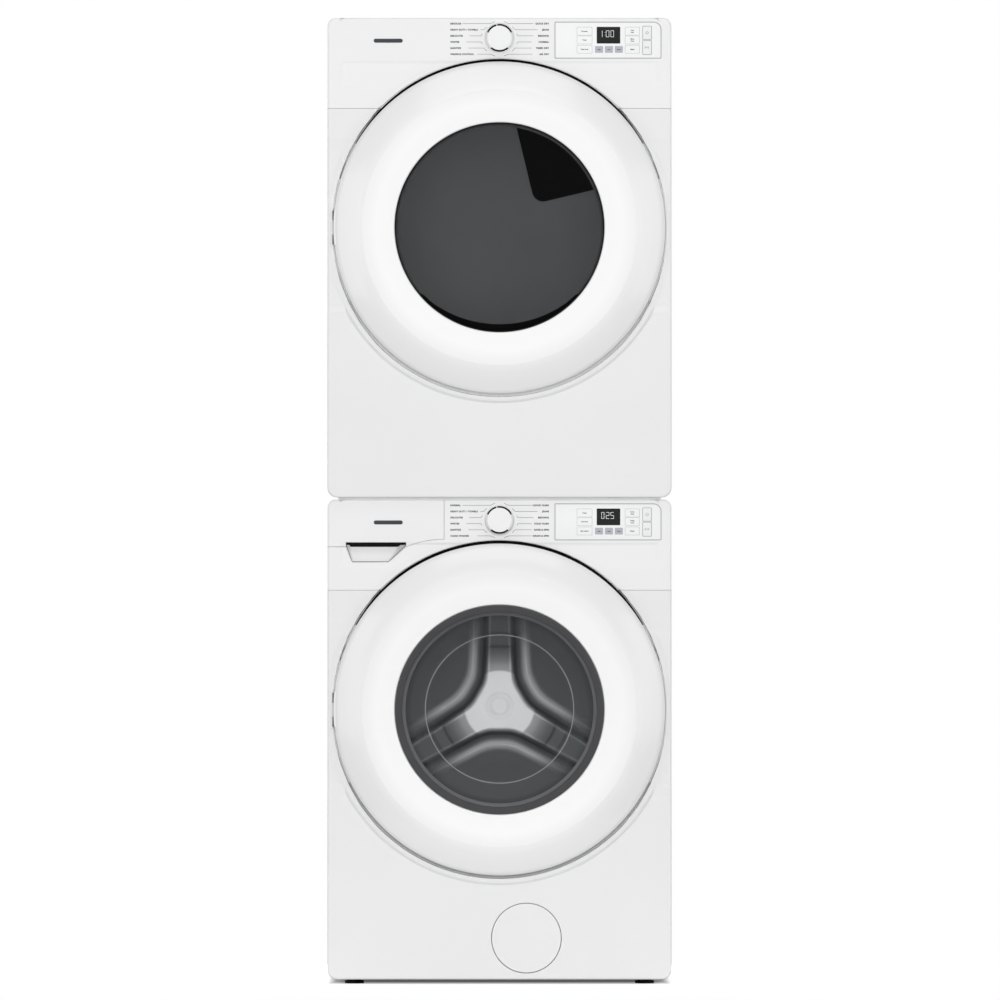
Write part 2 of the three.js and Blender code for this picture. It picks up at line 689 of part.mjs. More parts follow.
function filterCover() {
  const disc = rodY(FILTER.coverR, FACE_LOWER - 0.3, FACE_LOWER + 3, FILTER.x, FILTER.z, ROUND);
  const skirt = without(
    rodY(FILTER.coverR - 6, FACE_LOWER + 2.5, FACE_LOWER + 10, FILTER.x, FILTER.z, 24),
    rodY(FILTER.coverR - 9, FACE_LOWER + 2, FACE_LOWER + 11, FILTER.x, FILTER.z, 24),
  );
  return joined(disc, skirt);
}

function filterCap() {
  const { x, z, capR } = FILTER;
  const body = rodY(capR, -334, -316, x, z, 24);
  const bar = box(x - capR + 5, x + capR - 5, -343, -333, z - 5, z + 5);
  return joined(body, bar, rodY(capR - 8, -317, -250, x, z, 16));
}

function drainPump() {
  const { x, z, capR } = FILTER;
  const barrel = without(rodY(capR + 6, -315, -200, x, z, 20), rodY(capR - 6, -320, -230, x, z, 20));
  const motor = rodY(30, -205, -120, x, z, 16);
  const foot = box(x - 30, x + 30, -290, -150, 4, z - 34);
  const spigot = solid(new THREE.CylinderGeometry(13, 13, 60, SMALL).rotateZ(Math.PI / 2)).translate([x + 62, -215, z]);
  return joined(barrel, motor, foot, spigot);
}

function doorLock() {
  const body = box(222, 262, -346, -318, DOOR_Z - 42, DOOR_Z + 42);
  return without(body, hookSlot());
}

const VALVE = { x: 262, z: 875, pitch: 22 };

function inletValve() {
  const body = box(VALVE.x - 42, VALVE.x + 42, 300, 347, VALVE.z - 24, VALVE.z + 24);
  const port = (x) => without(
    rodY(13, 345, 374, x, VALVE.z),
    rodY(8.5, 352, 380, x, VALVE.z),
  );
  return joined(body, port(VALVE.x - VALVE.pitch), port(VALVE.x + VALVE.pitch));
}
const valveHole = () => box(VALVE.x - 40, VALVE.x + 40, 340, 360, VALVE.z - 17, VALVE.z + 17);

// Rear fittings, all moulded on: the drain outlet is a hollow spigot, and the power inlet is a blank boss.
function rearBoss(radius, x, z, bore = 0) {
  const boss = rodY(radius, Y_REAR - SHEET, Y_REAR + 22, x, z, 16);
  return bore ? without(boss, rodY(bore, Y_REAR - 10, Y_REAR + 30, x, z, 16)) : boss;
}
const DRAIN = { x: -286, z: 872, r: 15, bore: 11 };
const POWER_INLET = { x: -286, z: 96, r: 15 };

const FOOT = { x: 290, front: -270, rear: 300, r: 19 };

// Levelling foot: a rubber-shod pad on a threaded stem that screws into the base.
function foot(x, y) {
  return joined(rodZ(FOOT.r, 0, 6, x, y), rodZ(14, 5.5, 9, x, y), rodZ(5, 8, 30, x, y));
}
const footHole = (x, y) => rodZ(5.8, -5, 20, x, y);
const FEET = [
  ["front_left", -FOOT.x, FOOT.front],
  ["front_right", FOOT.x, FOOT.front],
  ["rear_left", -FOOT.x, FOOT.rear],
  ["rear_right", FOOT.x, FOOT.rear],
];

// ---------------------------------------------------------------- dryer: drum and air path

const TUMBLER = { r: 310, y0: -286, y1: 252 };
const ROLLER = { r: 34, y0: 196, y1: 220, tilt: (30 * Math.PI) / 180 };
const EXHAUST = { x: -70, z: 92, r: 51, bore: 49.5 };
const BELT_Y = [-20, -8];
const DRYER_MOTOR = { x: 150, z: 105, r: 58, pulleyR: 11 };

function dryerDrum() {
  const { r, y0, y1 } = TUMBLER;
  const shell = turned([[r, y0], [r, y1], [r - 2, y1], [r - 2, y0]], 0, DOOR_Z);
  const ridges = ARMS.map((angle) => baffle(r - 1, 66, 30, 14, y0 + 40, y1 - 12, angle));
  return joined(shell, ...ridges);
}

const SEAL_R = [TUMBLER.r + 6, TUMBLER.r + 8]; // a rolled edge round each end of the drum

// The fixed rear wall of the drum. Hot air enters through a grille in its upper right part.
const GRILLE = { x: 58, z: 46, size: 210, tilt: (13.5 * Math.PI) / 180, reach: 290 };

function rearBulkhead() {
  const [inner, outer] = SEAL_R;
  const plate = turned([
    [0.01, 256],
    [inner, 256],
    [inner, 238],
    [outer, 238],
    [outer, 259],
    [0.01, 259],
  ], 0, DOOR_Z);
  const square = new THREE.BoxGeometry(GRILLE.size, 8.2, GRILLE.size);
  square.translate(GRILLE.size / 2, 254, GRILLE.size / 2).rotateY(-GRILLE.tilt);
  const window = solid(square.translate(GRILLE.x, 0, DOOR_Z + GRILLE.z));
  return without(plate, window.intersect(rodY(GRILLE.reach, 240, 270, 0, DOOR_Z, ROUND)));
}

const LINT = { x: 132, y0: -322, y1: -300, z0: 96, z1: 322 };

// The front wall of the drum, its neck and the duct that holds the lint screen.
function frontBulkhead() {
  const [inner, outer] = SEAL_R;
  const neck = MOUTH_R + 1;
  const ring = turned([
    [neck, -341],
    [neck + 3, -341],
    [neck + 3, -294],
    [outer, -294],
    [outer, -272],
    [inner, -272],
    [inner, -291],
    [neck, -291],
  ], 0, DOOR_Z);
  const duct = box(-LINT.x - 3, LINT.x + 3, LINT.y0 - 3, LINT.y1 + 3, LINT.z0 - 3, LINT.z1);
  const join = box(-LINT.x - 3, LINT.x + 3, LINT.y1 + 2, -292, 250, LINT.z1 - 4);
  const collar = box(-LINT.x - 3, LINT.x + 3, LINT.y0 - 3, LINT.y1 + 3, LINT.z1 - 8, 380);
  const ringBand = rodY(neck + 3, -341, -290, 0, DOOR_Z, ROUND);
  const wall = joined(ring, duct, join, without(collar, ringBand));
  const slot = box(-LINT.x, LINT.x, LINT.y0, LINT.y1, LINT.z0, 420);
  const outlet = rodY(40, -302, -285, EXHAUST.x, BLOWER.z, 16);
  return without(wall, slot, outlet);
}

function lintScreen() {
  const frame = without(
    box(-LINT.x + 3, LINT.x - 3, -316, -306, LINT.z0 + 6, LINT.z1 - 2),
    box(-LINT.x + 13, LINT.x - 13, -314, -300, LINT.z0 + 16, LINT.z1 - 22),
  );
  const grip = box(-80, 80, -319, -303, LINT.z1 - 4, LINT.z1 + 12);
  return joined(frame, grip);
}

const BLOWER = { z: 128, r: 92, y0: -292, y1: -215 };

function blower() {
  const { z, r, y0, y1 } = BLOWER;
  const scroll = rodY(r, y0, y1, EXHAUST.x, z, 20);
  const pipe = rodY(EXHAUST.r, -230, Y_REARMOST, EXHAUST.x, EXHAUST.z, 20);
  const bore = rodY(EXHAUST.bore, -212, Y_REARMOST + 5, EXHAUST.x, EXHAUST.z, 20);
  const chamber = rodY(r - 4, y0 + 4, y1 - 4, EXHAUST.x, z, 20);
  const inlet = rodY(40, y0 - 5, y0 + 8, EXHAUST.x, z);
  const outlet = rodY(34, y1 - 8, y1 + 5, EXHAUST.x, EXHAUST.z);
  return without(joined(scroll, pipe), bore, chamber, inlet, outlet);
}

function dryerBelt() {
  const { x, z, pulleyR } = DRYER_MOTOR;
  return belt({ x: 0, z: DOOR_Z, r: TUMBLER.r }, { x, z, r: pulleyR }, 1.5, ...BELT_Y);
}

function dryerMotor() {
  const { x, z, r } = DRYER_MOTOR;
  const body = rodY(r, 20, 190, x, z, 20);
  const feet = box(x - 70, x + 70, 50, 160, 4, z - 45);
  return without(joined(body, feet), rodY(8, 0, 60, x, z));
}

function dryerMotorShaft() {
  const { x, z, pulleyR } = DRYER_MOTOR;
  return joined(
    rodY(7, BELT_Y[0] - 12, 50, x, z),
    rodY(pulleyR, BELT_Y[0] - 4, BELT_Y[1] + 4, x, z, 16),
  );
}

function roller(side) {
  const reach = TUMBLER.r + ROLLER.r + 0.6;
  const x = side * reach * Math.sin(ROLLER.tilt);
  const z = DOOR_Z - reach * Math.cos(ROLLER.tilt);
  return joined(rodY(ROLLER.r, ROLLER.y0, ROLLER.y1, x, z, 18), rodY(6, ROLLER.y0 - 6, 236, x, z));
}

function heaterHousing() {
  return without(
    box(40, 220, 262, 344, DOOR_Z - 170, DOOR_Z + 200),
    box(44, 216, 240, 340, DOOR_Z - 166, DOOR_Z + 196),
  );
}

// The washer's lid carries four pads that the dryer stands on, one above each foot.
function washerLid() {
  const pads = FEET.map(([, x, y]) => rodZ(24, HEIGHT - 0.5, HEIGHT + STACK_GAP - GAP, x, y));
  return joined(lid(), ...pads);
}

// Two straps behind the dryer's base hang down over the washer's lid and tie the machines together.
function dryerBase() {
  const strap = (x) =>
    joined(
      box(x - 28, x + 28, Y_REAR + GAP, Y_REAR + 2.5, -STACK_GAP - 19, 18),
      box(x - 28, x + 28, Y_REAR - 0.5, Y_REAR + GAP + 0.1, 4, 18),
    );
  return joined(base(), strap(-300), strap(300));
}

// ---------------------------------------------------------------- assembly

const filterHole = rodY(FILTER.coverR + 0.8, -400, -350, FILTER.x, FILTER.z, ROUND);
const drainHole = rodY(DRAIN.bore, 340, 360, DRAIN.x, DRAIN.z, 16);

sharedPieces(washer, "washer", {
  shell: joined(
    cabinet(valveHole(), drainHole),
    rearBoss(DRAIN.r, DRAIN.x, DRAIN.z, DRAIN.bore),
    rearBoss(POWER_INLET.r, POWER_INLET.x, POWER_INLET.z),
  ),
  pan: base(...FEET.map(([, x, y]) => footHole(x, y))),
  panel: frontPanel(filterHole, hookSlot()),
  fascia: washerConsole(),
});
add(washer, "washer_lid", "white_enamel", washerLid());
add(washer, "washer_door_liner", "white_plastic", doorLiner());
add(washer, "washer_door_glass", "clear_glass", bowlGlass());
add(washer, "washer_door_lock", "dark_plastic", doorLock());
add(washer, "washer_drawer_front", "white_plastic", drawerFront());
add(washer, "washer_drawer_tray", "grey_plastic", drawerTray());
add(washer, "washer_dispenser_housing", "grey_plastic", dispenserHousing());
add(washer, "washer_gasket", "grey_rubber", gasket());
add(washer, "washer_tub", "grey_plastic", tub());
add(washer, "washer_drum", "stainless", washerDrum());
add(washer, "washer_drum_pulley", "galvanised", drumPulley());
add(washer, "washer_belt", "black_rubber", washerBelt());
add(washer, "washer_motor", "dark_plastic", washerMotor());
add(washer, "washer_motor_pulley", "galvanised", motorPulley());
add(washer, "washer_strut_left", "galvanised", strut(-1));
add(washer, "washer_strut_right", "galvanised", strut(1));
add(washer, "washer_filter_cover", "white_plastic", filterCover());
add(washer, "washer_filter_cap", "dark_plastic", filterCap());
add(washer, "washer_drain_pump", "grey_plastic", drainPump());
add(washer, "washer_inlet_valve", "grey_plastic", inletValve());
for (const [name, x, y] of FEET) add(stack, `washer_foot_${name}`, "black_rubber", foot(x, y));

sharedPieces(dryer, "dryer", {
  shell: joined(
    cabinet(rodY(EXHAUST.r + 2, 340, 360, EXHAUST.x, EXHAUST.z, ROUND)),
    rearBoss(POWER_INLET.r, POWER_INLET.x, POWER_INLET.z),
  ),
  pan: dryerBase(),
  panel: frontPanel(hookSlot()),
  fascia: consoleBody(),
});
add(dryer, "dryer_lid", "white_enamel", lid());
add(dryer, "dryer_door_liner", "white_plastic", plugLiner());
add(dryer, "dryer_door_glass", "smoked_glass", flatGlass());
add(dryer, "dryer_drum", "galvanised", dryerDrum());
add(dryer, "dryer_rear_bulkhead", "galvanised", rearBulkhead());
add(dryer, "dryer_front_bulkhead", "galvanised", frontBulkhead());
add(dryer, "dryer_lint_screen", "black_plastic", lintScreen());
add(dryer, "dryer_blower", "galvanised", blower());
add(dryer, "dryer_motor", "dark_plastic", dryerMotor());
add(dryer, "dryer_motor_shaft", "galvanised", dryerMotorShaft());
add(dryer, "dryer_belt", "black_rubber", dryerBelt());
add(dryer, "dryer_roller_left", "dark_plastic", roller(-1));
add(dryer, "dryer_roller_right", "dark_plastic", roller(1));
add(dryer, "dryer_heater_housing", "galvanised", heaterHousing());

export default stack;
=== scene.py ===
"""A front-loading washer with a matching vented dryer stacked on it, in metres, +Z up, fronts facing -Y."""
import json
import math

import bmesh
import bpy
import numpy as np
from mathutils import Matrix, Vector


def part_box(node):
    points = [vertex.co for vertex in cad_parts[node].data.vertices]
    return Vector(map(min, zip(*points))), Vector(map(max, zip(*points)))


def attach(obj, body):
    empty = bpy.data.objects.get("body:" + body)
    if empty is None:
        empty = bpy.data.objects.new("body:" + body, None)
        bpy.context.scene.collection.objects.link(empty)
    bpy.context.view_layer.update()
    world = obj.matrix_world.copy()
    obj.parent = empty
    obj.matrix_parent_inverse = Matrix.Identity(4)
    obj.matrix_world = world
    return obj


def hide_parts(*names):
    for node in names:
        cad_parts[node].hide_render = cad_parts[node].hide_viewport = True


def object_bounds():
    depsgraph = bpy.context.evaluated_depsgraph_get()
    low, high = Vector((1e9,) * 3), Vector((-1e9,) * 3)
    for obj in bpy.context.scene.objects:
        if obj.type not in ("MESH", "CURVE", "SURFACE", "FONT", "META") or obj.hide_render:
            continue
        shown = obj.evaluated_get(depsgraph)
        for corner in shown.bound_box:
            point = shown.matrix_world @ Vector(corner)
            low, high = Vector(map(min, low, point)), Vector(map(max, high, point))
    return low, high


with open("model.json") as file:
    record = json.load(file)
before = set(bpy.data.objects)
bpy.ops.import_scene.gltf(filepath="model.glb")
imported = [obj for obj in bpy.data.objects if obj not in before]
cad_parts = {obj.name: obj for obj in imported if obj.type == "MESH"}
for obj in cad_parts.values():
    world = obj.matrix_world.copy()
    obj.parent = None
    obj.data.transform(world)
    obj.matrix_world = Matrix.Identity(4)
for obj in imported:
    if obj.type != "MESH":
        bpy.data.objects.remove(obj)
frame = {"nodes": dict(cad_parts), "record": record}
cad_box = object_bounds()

MACHINES = ("washer", "dryer")


# ---- White enamel --------------------------------------------------------------------------------
# The cabinets, lids and front panels are pressed steel with a baked white enamel. It is smooth and
# glossy, with the faint long waves that a sprayed and baked coat keeps, and a very slight cool cast.

def linear(hex_colour):
    """sRGB hex to linear RGBA: v / 12.92 below 0.04045, else ((v + 0.055) / 1.055) to the power 2.4."""
    part = [int(hex_colour[i:i + 2], 16) / 255 for i in (1, 3, 5)]
    return (*[v / 12.92 if v <= 0.04045 else ((v + 0.055) / 1.055) ** 2.4 for v in part], 1.0)


def add(material, kind, inputs=None, **settings):
    """One node with its settings; an input given as a socket is linked, and any other is set."""
    made = material.node_tree.nodes.new(kind)
    for name, value in settings.items():
        setattr(made, name, value)
    for name, value in (inputs or {}).items():
        if isinstance(value, bpy.types.NodeSocket):
            material.node_tree.links.new(value, made.inputs[name])
        else:
            made.inputs[name].default_value = value
    return made


def finish(name, colour, roughness, metallic=0.0, **sockets):
    """A Principled material called name. Returns it with its shader node."""
    material = bpy.data.materials.new(name)
    material.use_nodes = True
    shader = material.node_tree.nodes["Principled BSDF"]
    shader.inputs["Base Color"].default_value = linear(colour)
    shader.inputs["Roughness"].default_value = roughness
    shader.inputs["Metallic"].default_value = metallic
    for socket, value in sockets.items():
        shader.inputs[socket.replace("_", " ")].default_value = value
    return material, shader


def mottle(material, shader, low, high, size_mm, detail=3.0):
    """Base colour that drifts between two near shades over patches of about size_mm."""
    place = add(material, "ShaderNodeTexCoord").outputs["Object"]
    noise = add(material, "ShaderNodeTexNoise", {"Vector": place, "Scale": 1000 / size_mm, "Detail": detail})
    blend = add(material, "ShaderNodeMix", {"Factor": noise.outputs["Fac"]}, data_type="RGBA")
    blend.inputs["A"].default_value = linear(low)
    blend.inputs["B"].default_value = linear(high)
    material.node_tree.links.new(blend.outputs["Result"], shader.inputs["Base Color"])


def grain(material, shader, size_mm, height_mm, detail=2.0, stretch=(1, 1, 1)):
    """A fine relief of that grain size and height over the surface."""
    place = add(material, "ShaderNodeTexCoord").outputs["Object"]
    spread = add(material, "ShaderNodeMapping", {"Vector": place, "Scale": stretch})
    noise = add(material, "ShaderNodeTexNoise",
                {"Vector": spread.outputs["Vector"], "Scale": 1000 / size_mm, "Detail": detail})
    bump = add(material, "ShaderNodeBump", {"Height": noise.outputs["Fac"], "Distance": height_mm / 1000})
    material.node_tree.links.new(bump.outputs["Normal"], shader.inputs["Normal"])


def rough_drift(material, shader, low, high, size_mm):
    """Roughness that drifts between low and high over patches of about size_mm."""
    place = add(material, "ShaderNodeTexCoord").outputs["Object"]
    noise = add(material, "ShaderNodeTexNoise", {"Vector": place, "Scale": 1000 / size_mm, "Detail": 2.0})
    drift = add(material, "ShaderNodeMapRange",
                {"Value": noise.outputs["Fac"], "From Min": 0.3, "From Max": 0.7, "To Min": low, "To Max": high})
    material.node_tree.links.new(drift.outputs["Result"], shader.inputs["Roughness"])


enamel, enamel_shader = finish("baked white enamel on steel", "#EFF0F1", 0.2, Coat_Weight=0.25,
                               Coat_Roughness=0.08)
mottle(enamel, enamel_shader, "#EAEAEB", "#EFEFEF", 260)
grain(enamel, enamel_shader, 4.0, 0.012)
rough_drift(enamel, enamel_shader, 0.17, 0.25, 120)


# ---- Cabinet shells and lids ---------------------------------------------------------------------
# Each lid is one deep-drawn sheet with rounded long edges and a small roll at the front and back. The
# folded sides and the rear stay as the plain sheets that they are, in the same enamel.

def mm(node):
    """A CAD node's lowest and highest corner, in millimetres."""
    return np.array(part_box(node)) * 1000


def piece(name, patches, body, material, stands_for=(), crease=32, wall=0.0):
    """A mesh from patches, each a grid of points in mm with (wrap along u, wrap along v, cap rows).

    Points of patch (i, j) make quads (i, j), (i+1, j), (i+1, j+1), (i, j+1), so du x dv points outwards.
    """
    points, faces, start = [], [], 0
    for grid, wrap_u, wrap_v, caps in patches:
        n, m = grid.shape[:2]
        index = start + np.arange(n * m).reshape(n, m)
        if wrap_u:
            index = np.vstack([index, index[:1]])
        if wrap_v:
            index = np.hstack([index, index[:, :1]])
        quads = np.stack([index[:-1, :-1], index[1:, :-1], index[1:, 1:], index[:-1, 1:]], -1)
        faces += quads.reshape(-1, 4).tolist()
        if "first" in caps:
            faces.append(index[:n, 0][::-1].tolist())
        if "last" in caps:
            faces.append(index[:n, -1].tolist())
        points.append(grid.reshape(-1, 3) / 1000)
        start += n * m
    mesh = bpy.data.meshes.new(name)
    mesh.from_pydata(np.concatenate(points).tolist(), [], faces)
    mended = bmesh.new()
    mended.from_mesh(mesh)
    bmesh.ops.remove_doubles(mended, verts=mended.verts, dist=1e-6)
    mended.to_mesh(mesh)
    mended.free()
    mesh.polygons.foreach_set("use_smooth", np.ones(len(mesh.polygons), bool))
    mesh.set_sharp_from_angle(angle=math.radians(crease))
    made = bpy.data.objects.new(name, mesh)
    bpy.context.scene.collection.objects.link(made)
    made.data.materials.append(material)
    if wall:
        thick = made.modifiers.new("sheet thickness", "SOLIDIFY")
        thick.thickness = wall / 1000
        thick.offset = -1
    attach(made, body)
    if stands_for:
        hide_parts(*stands_for)
    return made


def rounded_rect(x0, x1, z0, z1, radii, steps=6):
    """Loop of (x, z) round a rectangle, anticlockwise from the lower right, with a quarter arc at each
    corner. radii are for the lower right, upper right, upper left and lower left corner."""
    centres = [(x1, z0, -1, 1), (x1, z1, -1, -1), (x0, z1, 1, -1), (x0, z0, 1, 1)]
    turn = np.linspace(0, np.pi / 2, steps)
    loop = []
    for k, ((x, z, sx, sz), r) in enumerate(zip(centres, radii)):
        angle = turn + (k - 1) * np.pi / 2
        r = max(r, 0.01)
        loop.append(np.stack([x + sx * r + r * np.cos(angle), z + sz * r + r * np.sin(angle)], -1))
    return np.concatenate(loop)


def slab(x0, x1, z0, z1, radii, y_front, y_back, edge, steps=4, back_edge=None):
    """A plate facing -Y with rounded corners, whose front edge is rolled over a quarter arc of radius
    edge: at arc angle a the outline is inset by edge (1 - sin a) and stands edge (1 - cos a) back."""
    back_edge = edge if back_edge is None else back_edge
    rows = [(edge * (1 - math.sin(a)), y_front + edge * (1 - math.cos(a)))
            for a in np.linspace(0, math.pi / 2, steps)]
    rows += [(back_edge * (1 - math.sin(a)), y_back - back_edge * (1 - math.cos(a)))
             for a in np.linspace(math.pi / 2, 0, steps)]
    grid = []
    for inset, y in rows:
        loop = rounded_rect(x0 + inset, x1 - inset, z0 + inset, z1 - inset, [max(r - inset, 0.2) for r in radii])
        grid.append(np.stack([loop[:, 0], np.full(len(loop), y), loop[:, 1]], -1))
    return (np.array(grid)[::-1].transpose(1, 0, 2), True, False, ("first", "last"))


for machine in MACHINES:
    low, high = mm(f"{machine}_lid")
    piece(f"{machine}_lid_sheet", [slab(low[0], high[0], low[2], low[2] + 22, (0.3, 16, 16, 0.3), low[1], high[1], 2.5)],
          "stack", enamel, [f"{machine}_lid"])
    frame["nodes"][f"{machine}_cabinet"].data.materials[0] = enamel


# ---- Front panels --------------------------------------------------------------------------------
# One pressing per machine. It steps forward twice on its way down, and a round recess with a soft edge
# runs round the door. The outer edges roll back over a 4.5 mm radius to meet the cabinet.

STEP_BROW, STEP_MIDDLE, STEP_LOWER = -344.0, -350.0, -358.0
EDGE_ROLL = 4.5
RECESS_R = 346.0
GAP_INNER, GAP_OUTER, GAP_NARROW, GAP_DEPTH = 316.0, 338.0, 333.5, 15.0


def ease(value, start, end):
    """0 before start, 1 after end, and 3t^2 - 2t^3 between."""
    t = np.clip((value - start) / (end - start), 0, 1)
    return t * t * (3 - 2 * t)


def gap_outer(rise):
    """Outer radius of the gap round the door, for the sine of the angle: wide above and below, narrow beside."""
    return GAP_NARROW + (GAP_OUTER - GAP_NARROW) * ease(np.abs(rise), 0.1, 0.85)


def panel_face(x, z, foot, door_z):
    """Y of the panel's face: three levels joined by eased ramps, with the round recess cut into them, so the
    deeper of the two is kept. Behind the door's rim the floor drops into a gap, which fades at the sides."""
    h = z - foot
    level = STEP_BROW + (STEP_MIDDLE - STEP_BROW) * ease(-h, -719, -687)
    level = level + (STEP_LOWER - STEP_MIDDLE) * ease(-h, -390, -360)
    r = np.hypot(x, z - door_z)
    recess = STEP_MIDDLE - 45 * ease(r, RECESS_R - 2, RECESS_R + 22)
    outer = gap_outer((z - door_z) / r)
    gap = ease(r, GAP_INNER, GAP_INNER + 6) - ease(r, outer - 1.5, outer)
    return np.logaddexp(level / 0.7, recess / 0.7) * 0.7 + GAP_DEPTH * gap


def panel_outline(foot, top):
    """Loop of (x, z) round the panel, dense where the ramps and the lower corners are."""
    heights = np.concatenate([np.arange(22, 350, 9.0), np.arange(350, 400, 2.5), np.arange(400, 680, 7.0),
                              np.arange(680, 776, 2.5)]) + foot
    right = np.stack([np.full(len(heights), 343.0), heights], -1)
    across = np.arange(-340, 341, 2.5)
    over = np.stack([across[::-1], np.full(len(across), top)], -1)
    turn = np.linspace(0, np.pi / 2, 12)[1:-1]
    foot_right = np.stack([323 + 20 * np.sin(turn), foot + 20 - 20 * np.cos(turn)], -1)
    under = np.stack([np.arange(-321, 322, 9.0), np.full(72, foot)], -1)
    left = right[::-1] * (-1, 1)
    foot_left = foot_right[::-1] * (-1, 1)
    return np.concatenate([under, foot_right, right, over, left, foot_left])


def panel_patch(foot, top, door_z):
    """Rays from the mouth to the outline. Along a ray: the mouth's rolled lip, the part behind the door, the
    gap and the recess edge in fine steps, drawn together where the outline is near, then the face, then the
    outer roll, where the face falls back by R (1 - cos t) while the ray goes on by R sin t."""
    loop = panel_outline(foot, top)
    reach = np.hypot(loop[:, 0], loop[:, 1] - door_z)[:, None]
    ray = (loop - (0, door_z)) / reach
    ones = np.ones_like(reach)
    lip = np.array([212, 212, 212.3, 213.2, 214.5, 216.0, 235, 260, 290, 310])[None, :] * ones
    room = np.minimum(1, (reach - EDGE_ROLL - 2.5 - GAP_INNER) / (RECESS_R + 12 - GAP_INNER))
    steps = np.concatenate([np.arange(0, 8, 2.0), np.arange(9, 17, 4.0), np.arange(18, 44, 1.0)])
    edge = GAP_INNER + steps[None, :] * room
    rim = edge[:, -1:]
    face = rim + (reach - EDGE_ROLL - rim) * np.linspace(0.04, 1, 24)[None, :]
    roll = np.linspace(0.12, 1, 7)[None, :]
    outer = reach - EDGE_ROLL + EDGE_ROLL * np.sin(roll * np.pi / 2)
    r = np.concatenate([lip, edge, face, outer, reach * np.ones((1, 2))], 1)
    x, z = r * ray[:, :1], door_z + r * ray[:, 1:]
    y = panel_face(x, z, foot, door_z)
    y[:, :6] += np.array([8, 2.0, 1.2, 0.6, 0.15, 0])
    rolled = np.where(loop[:, 1:] > top - 0.5, 0.8, EDGE_ROLL)
    y[:, -9:-2] += rolled * (1 - np.cos(roll * np.pi / 2))
    y[:, -2:-1] += rolled + 1
    y[:, -1] = -328.0
    return (np.stack([x, y, z], -1)[:, ::-1], True, False, ())


def cut(target, solid, crease=40):
    """Takes a closed mesh away from target with its thickness applied, and then removes the cutter."""
    modifier = target.modifiers.new("cut", "BOOLEAN")
    modifier.operation = "DIFFERENCE"
    modifier.solver = "EXACT"
    modifier.object = solid
    applied = bpy.data.meshes.new_from_object(target.evaluated_get(bpy.context.evaluated_depsgraph_get()))
    target.modifiers.clear()
    target.data = applied
    applied.set_sharp_from_angle(angle=math.radians(crease))
    bpy.data.objects.remove(solid)


def turned(profile, x, z, sides=128, start=0.0):
    """A profile of (radius, y) carried once round the Y axis through (x, z): (r cos a, y, r sin a). Its order,
    outside back, outside front, inside front, inside back, points the faces outwards."""
    profile = np.asarray(profile, float)
    angle = start + np.arange(sides) * 2 * np.pi / sides
    ring = np.stack([np.cos(angle), np.zeros(sides), np.sin(angle)], -1)[:, None, :]
    along = profile[None, :, 1:] * np.array([0.0, 1.0, 0.0])
    return ring * profile[None, :, :1] + along + np.array([x, 0, z])


def cutter(grid):
    """A temporary closed solid for a cut, from a turned grid with both ends capped."""
    n, m = grid.shape[:2]
    index = np.arange(n * m).reshape(n, m)
    ring = np.vstack([index, index[:1]])
    faces = np.stack([ring[:-1, :-1], ring[1:, :-1], ring[1:, 1:], ring[:-1, 1:]], -1).reshape(-1, 4).tolist()
    faces += [index[:, 0][::-1].tolist(), index[:, -1].tolist()]
    mesh = bpy.data.meshes.new("cutter")
    mesh.from_pydata((grid.reshape(-1, 3) / 1000).tolist(), [], faces)
    made = bpy.data.objects.new("cutter", mesh)
    bpy.context.scene.collection.objects.link(made)
    return made


def door_centre(machine):
    return mm(f"{machine}_door_glass").mean(0)[2]


cover_low, cover_high = mm("washer_filter_cover")
cover_x, _, cover_z = (cover_low + cover_high) / 2
cover_r = (cover_high[0] - cover_low[0]) / 2

for machine in MACHINES:
    low, high = mm(f"{machine}_front_panel")
    panel = piece(f"{machine}_panel_pressing", [panel_patch(low[2], high[2], door_centre(machine))], "stack",
                  enamel, [f"{machine}_front_panel"], crease=50, wall=1.2)
    if machine == "washer":
        hole = turned([(cover_r + 0.8, -340), (cover_r + 0.8, -380)], cover_x, cover_z, 96)
        cut(panel, cutter(hole))


# ---- Consoles ------------------------------------------------------------------------------------
# One satin white moulding across the top of each machine. Its upper face is set back behind a wide ledge
# that ends short of both sides, and its outer edges are rounded. It snaps over the top of the cabinet.

satin, satin_shader = finish("satin white moulding", "#F5F5F5", 0.34, Specular_IOR_Level=0.4)
mottle(satin, satin_shader, "#EEEEEF", "#F2F2F2", 300)
grain(satin, satin_shader, 0.9, 0.006)
rough_drift(satin, satin_shader, 0.31, 0.38, 90)

CONSOLE_ROLL = 5.0
LEDGE_HALF = 315.0
TOP_CORNER = 16.0


def console_face(x, h, height):
    """Y of the console's face at h above the cabinet's foot. Over the ledge it goes from the brow back in two
    eased ramps and then forward over a sharp crease; past the ledge's ends it is one long ease."""
    ledge = STEP_BROW + 4.9 * ease(h, 817, 842) + 2.7 * ease(h, 834, 866) - 2.1 * ease(h, 866.5, 871.5)
    plain = STEP_BROW + 5.5 * ease(h, 812, 892)
    end = ease(np.abs(x), LEDGE_HALF - 3, LEDGE_HALF + 6)
    return ledge * (1 - end) + plain * end


def side_of(h, height):
    """Half the console's width at h: 343, less r - sqrt(r^2 - d^2) where the top corner turns in."""
    d = np.clip(h - (height - TOP_CORNER), 0, TOP_CORNER)
    return 343 - (TOP_CORNER - np.sqrt(np.maximum(TOP_CORNER ** 2 - d ** 2, 0)))


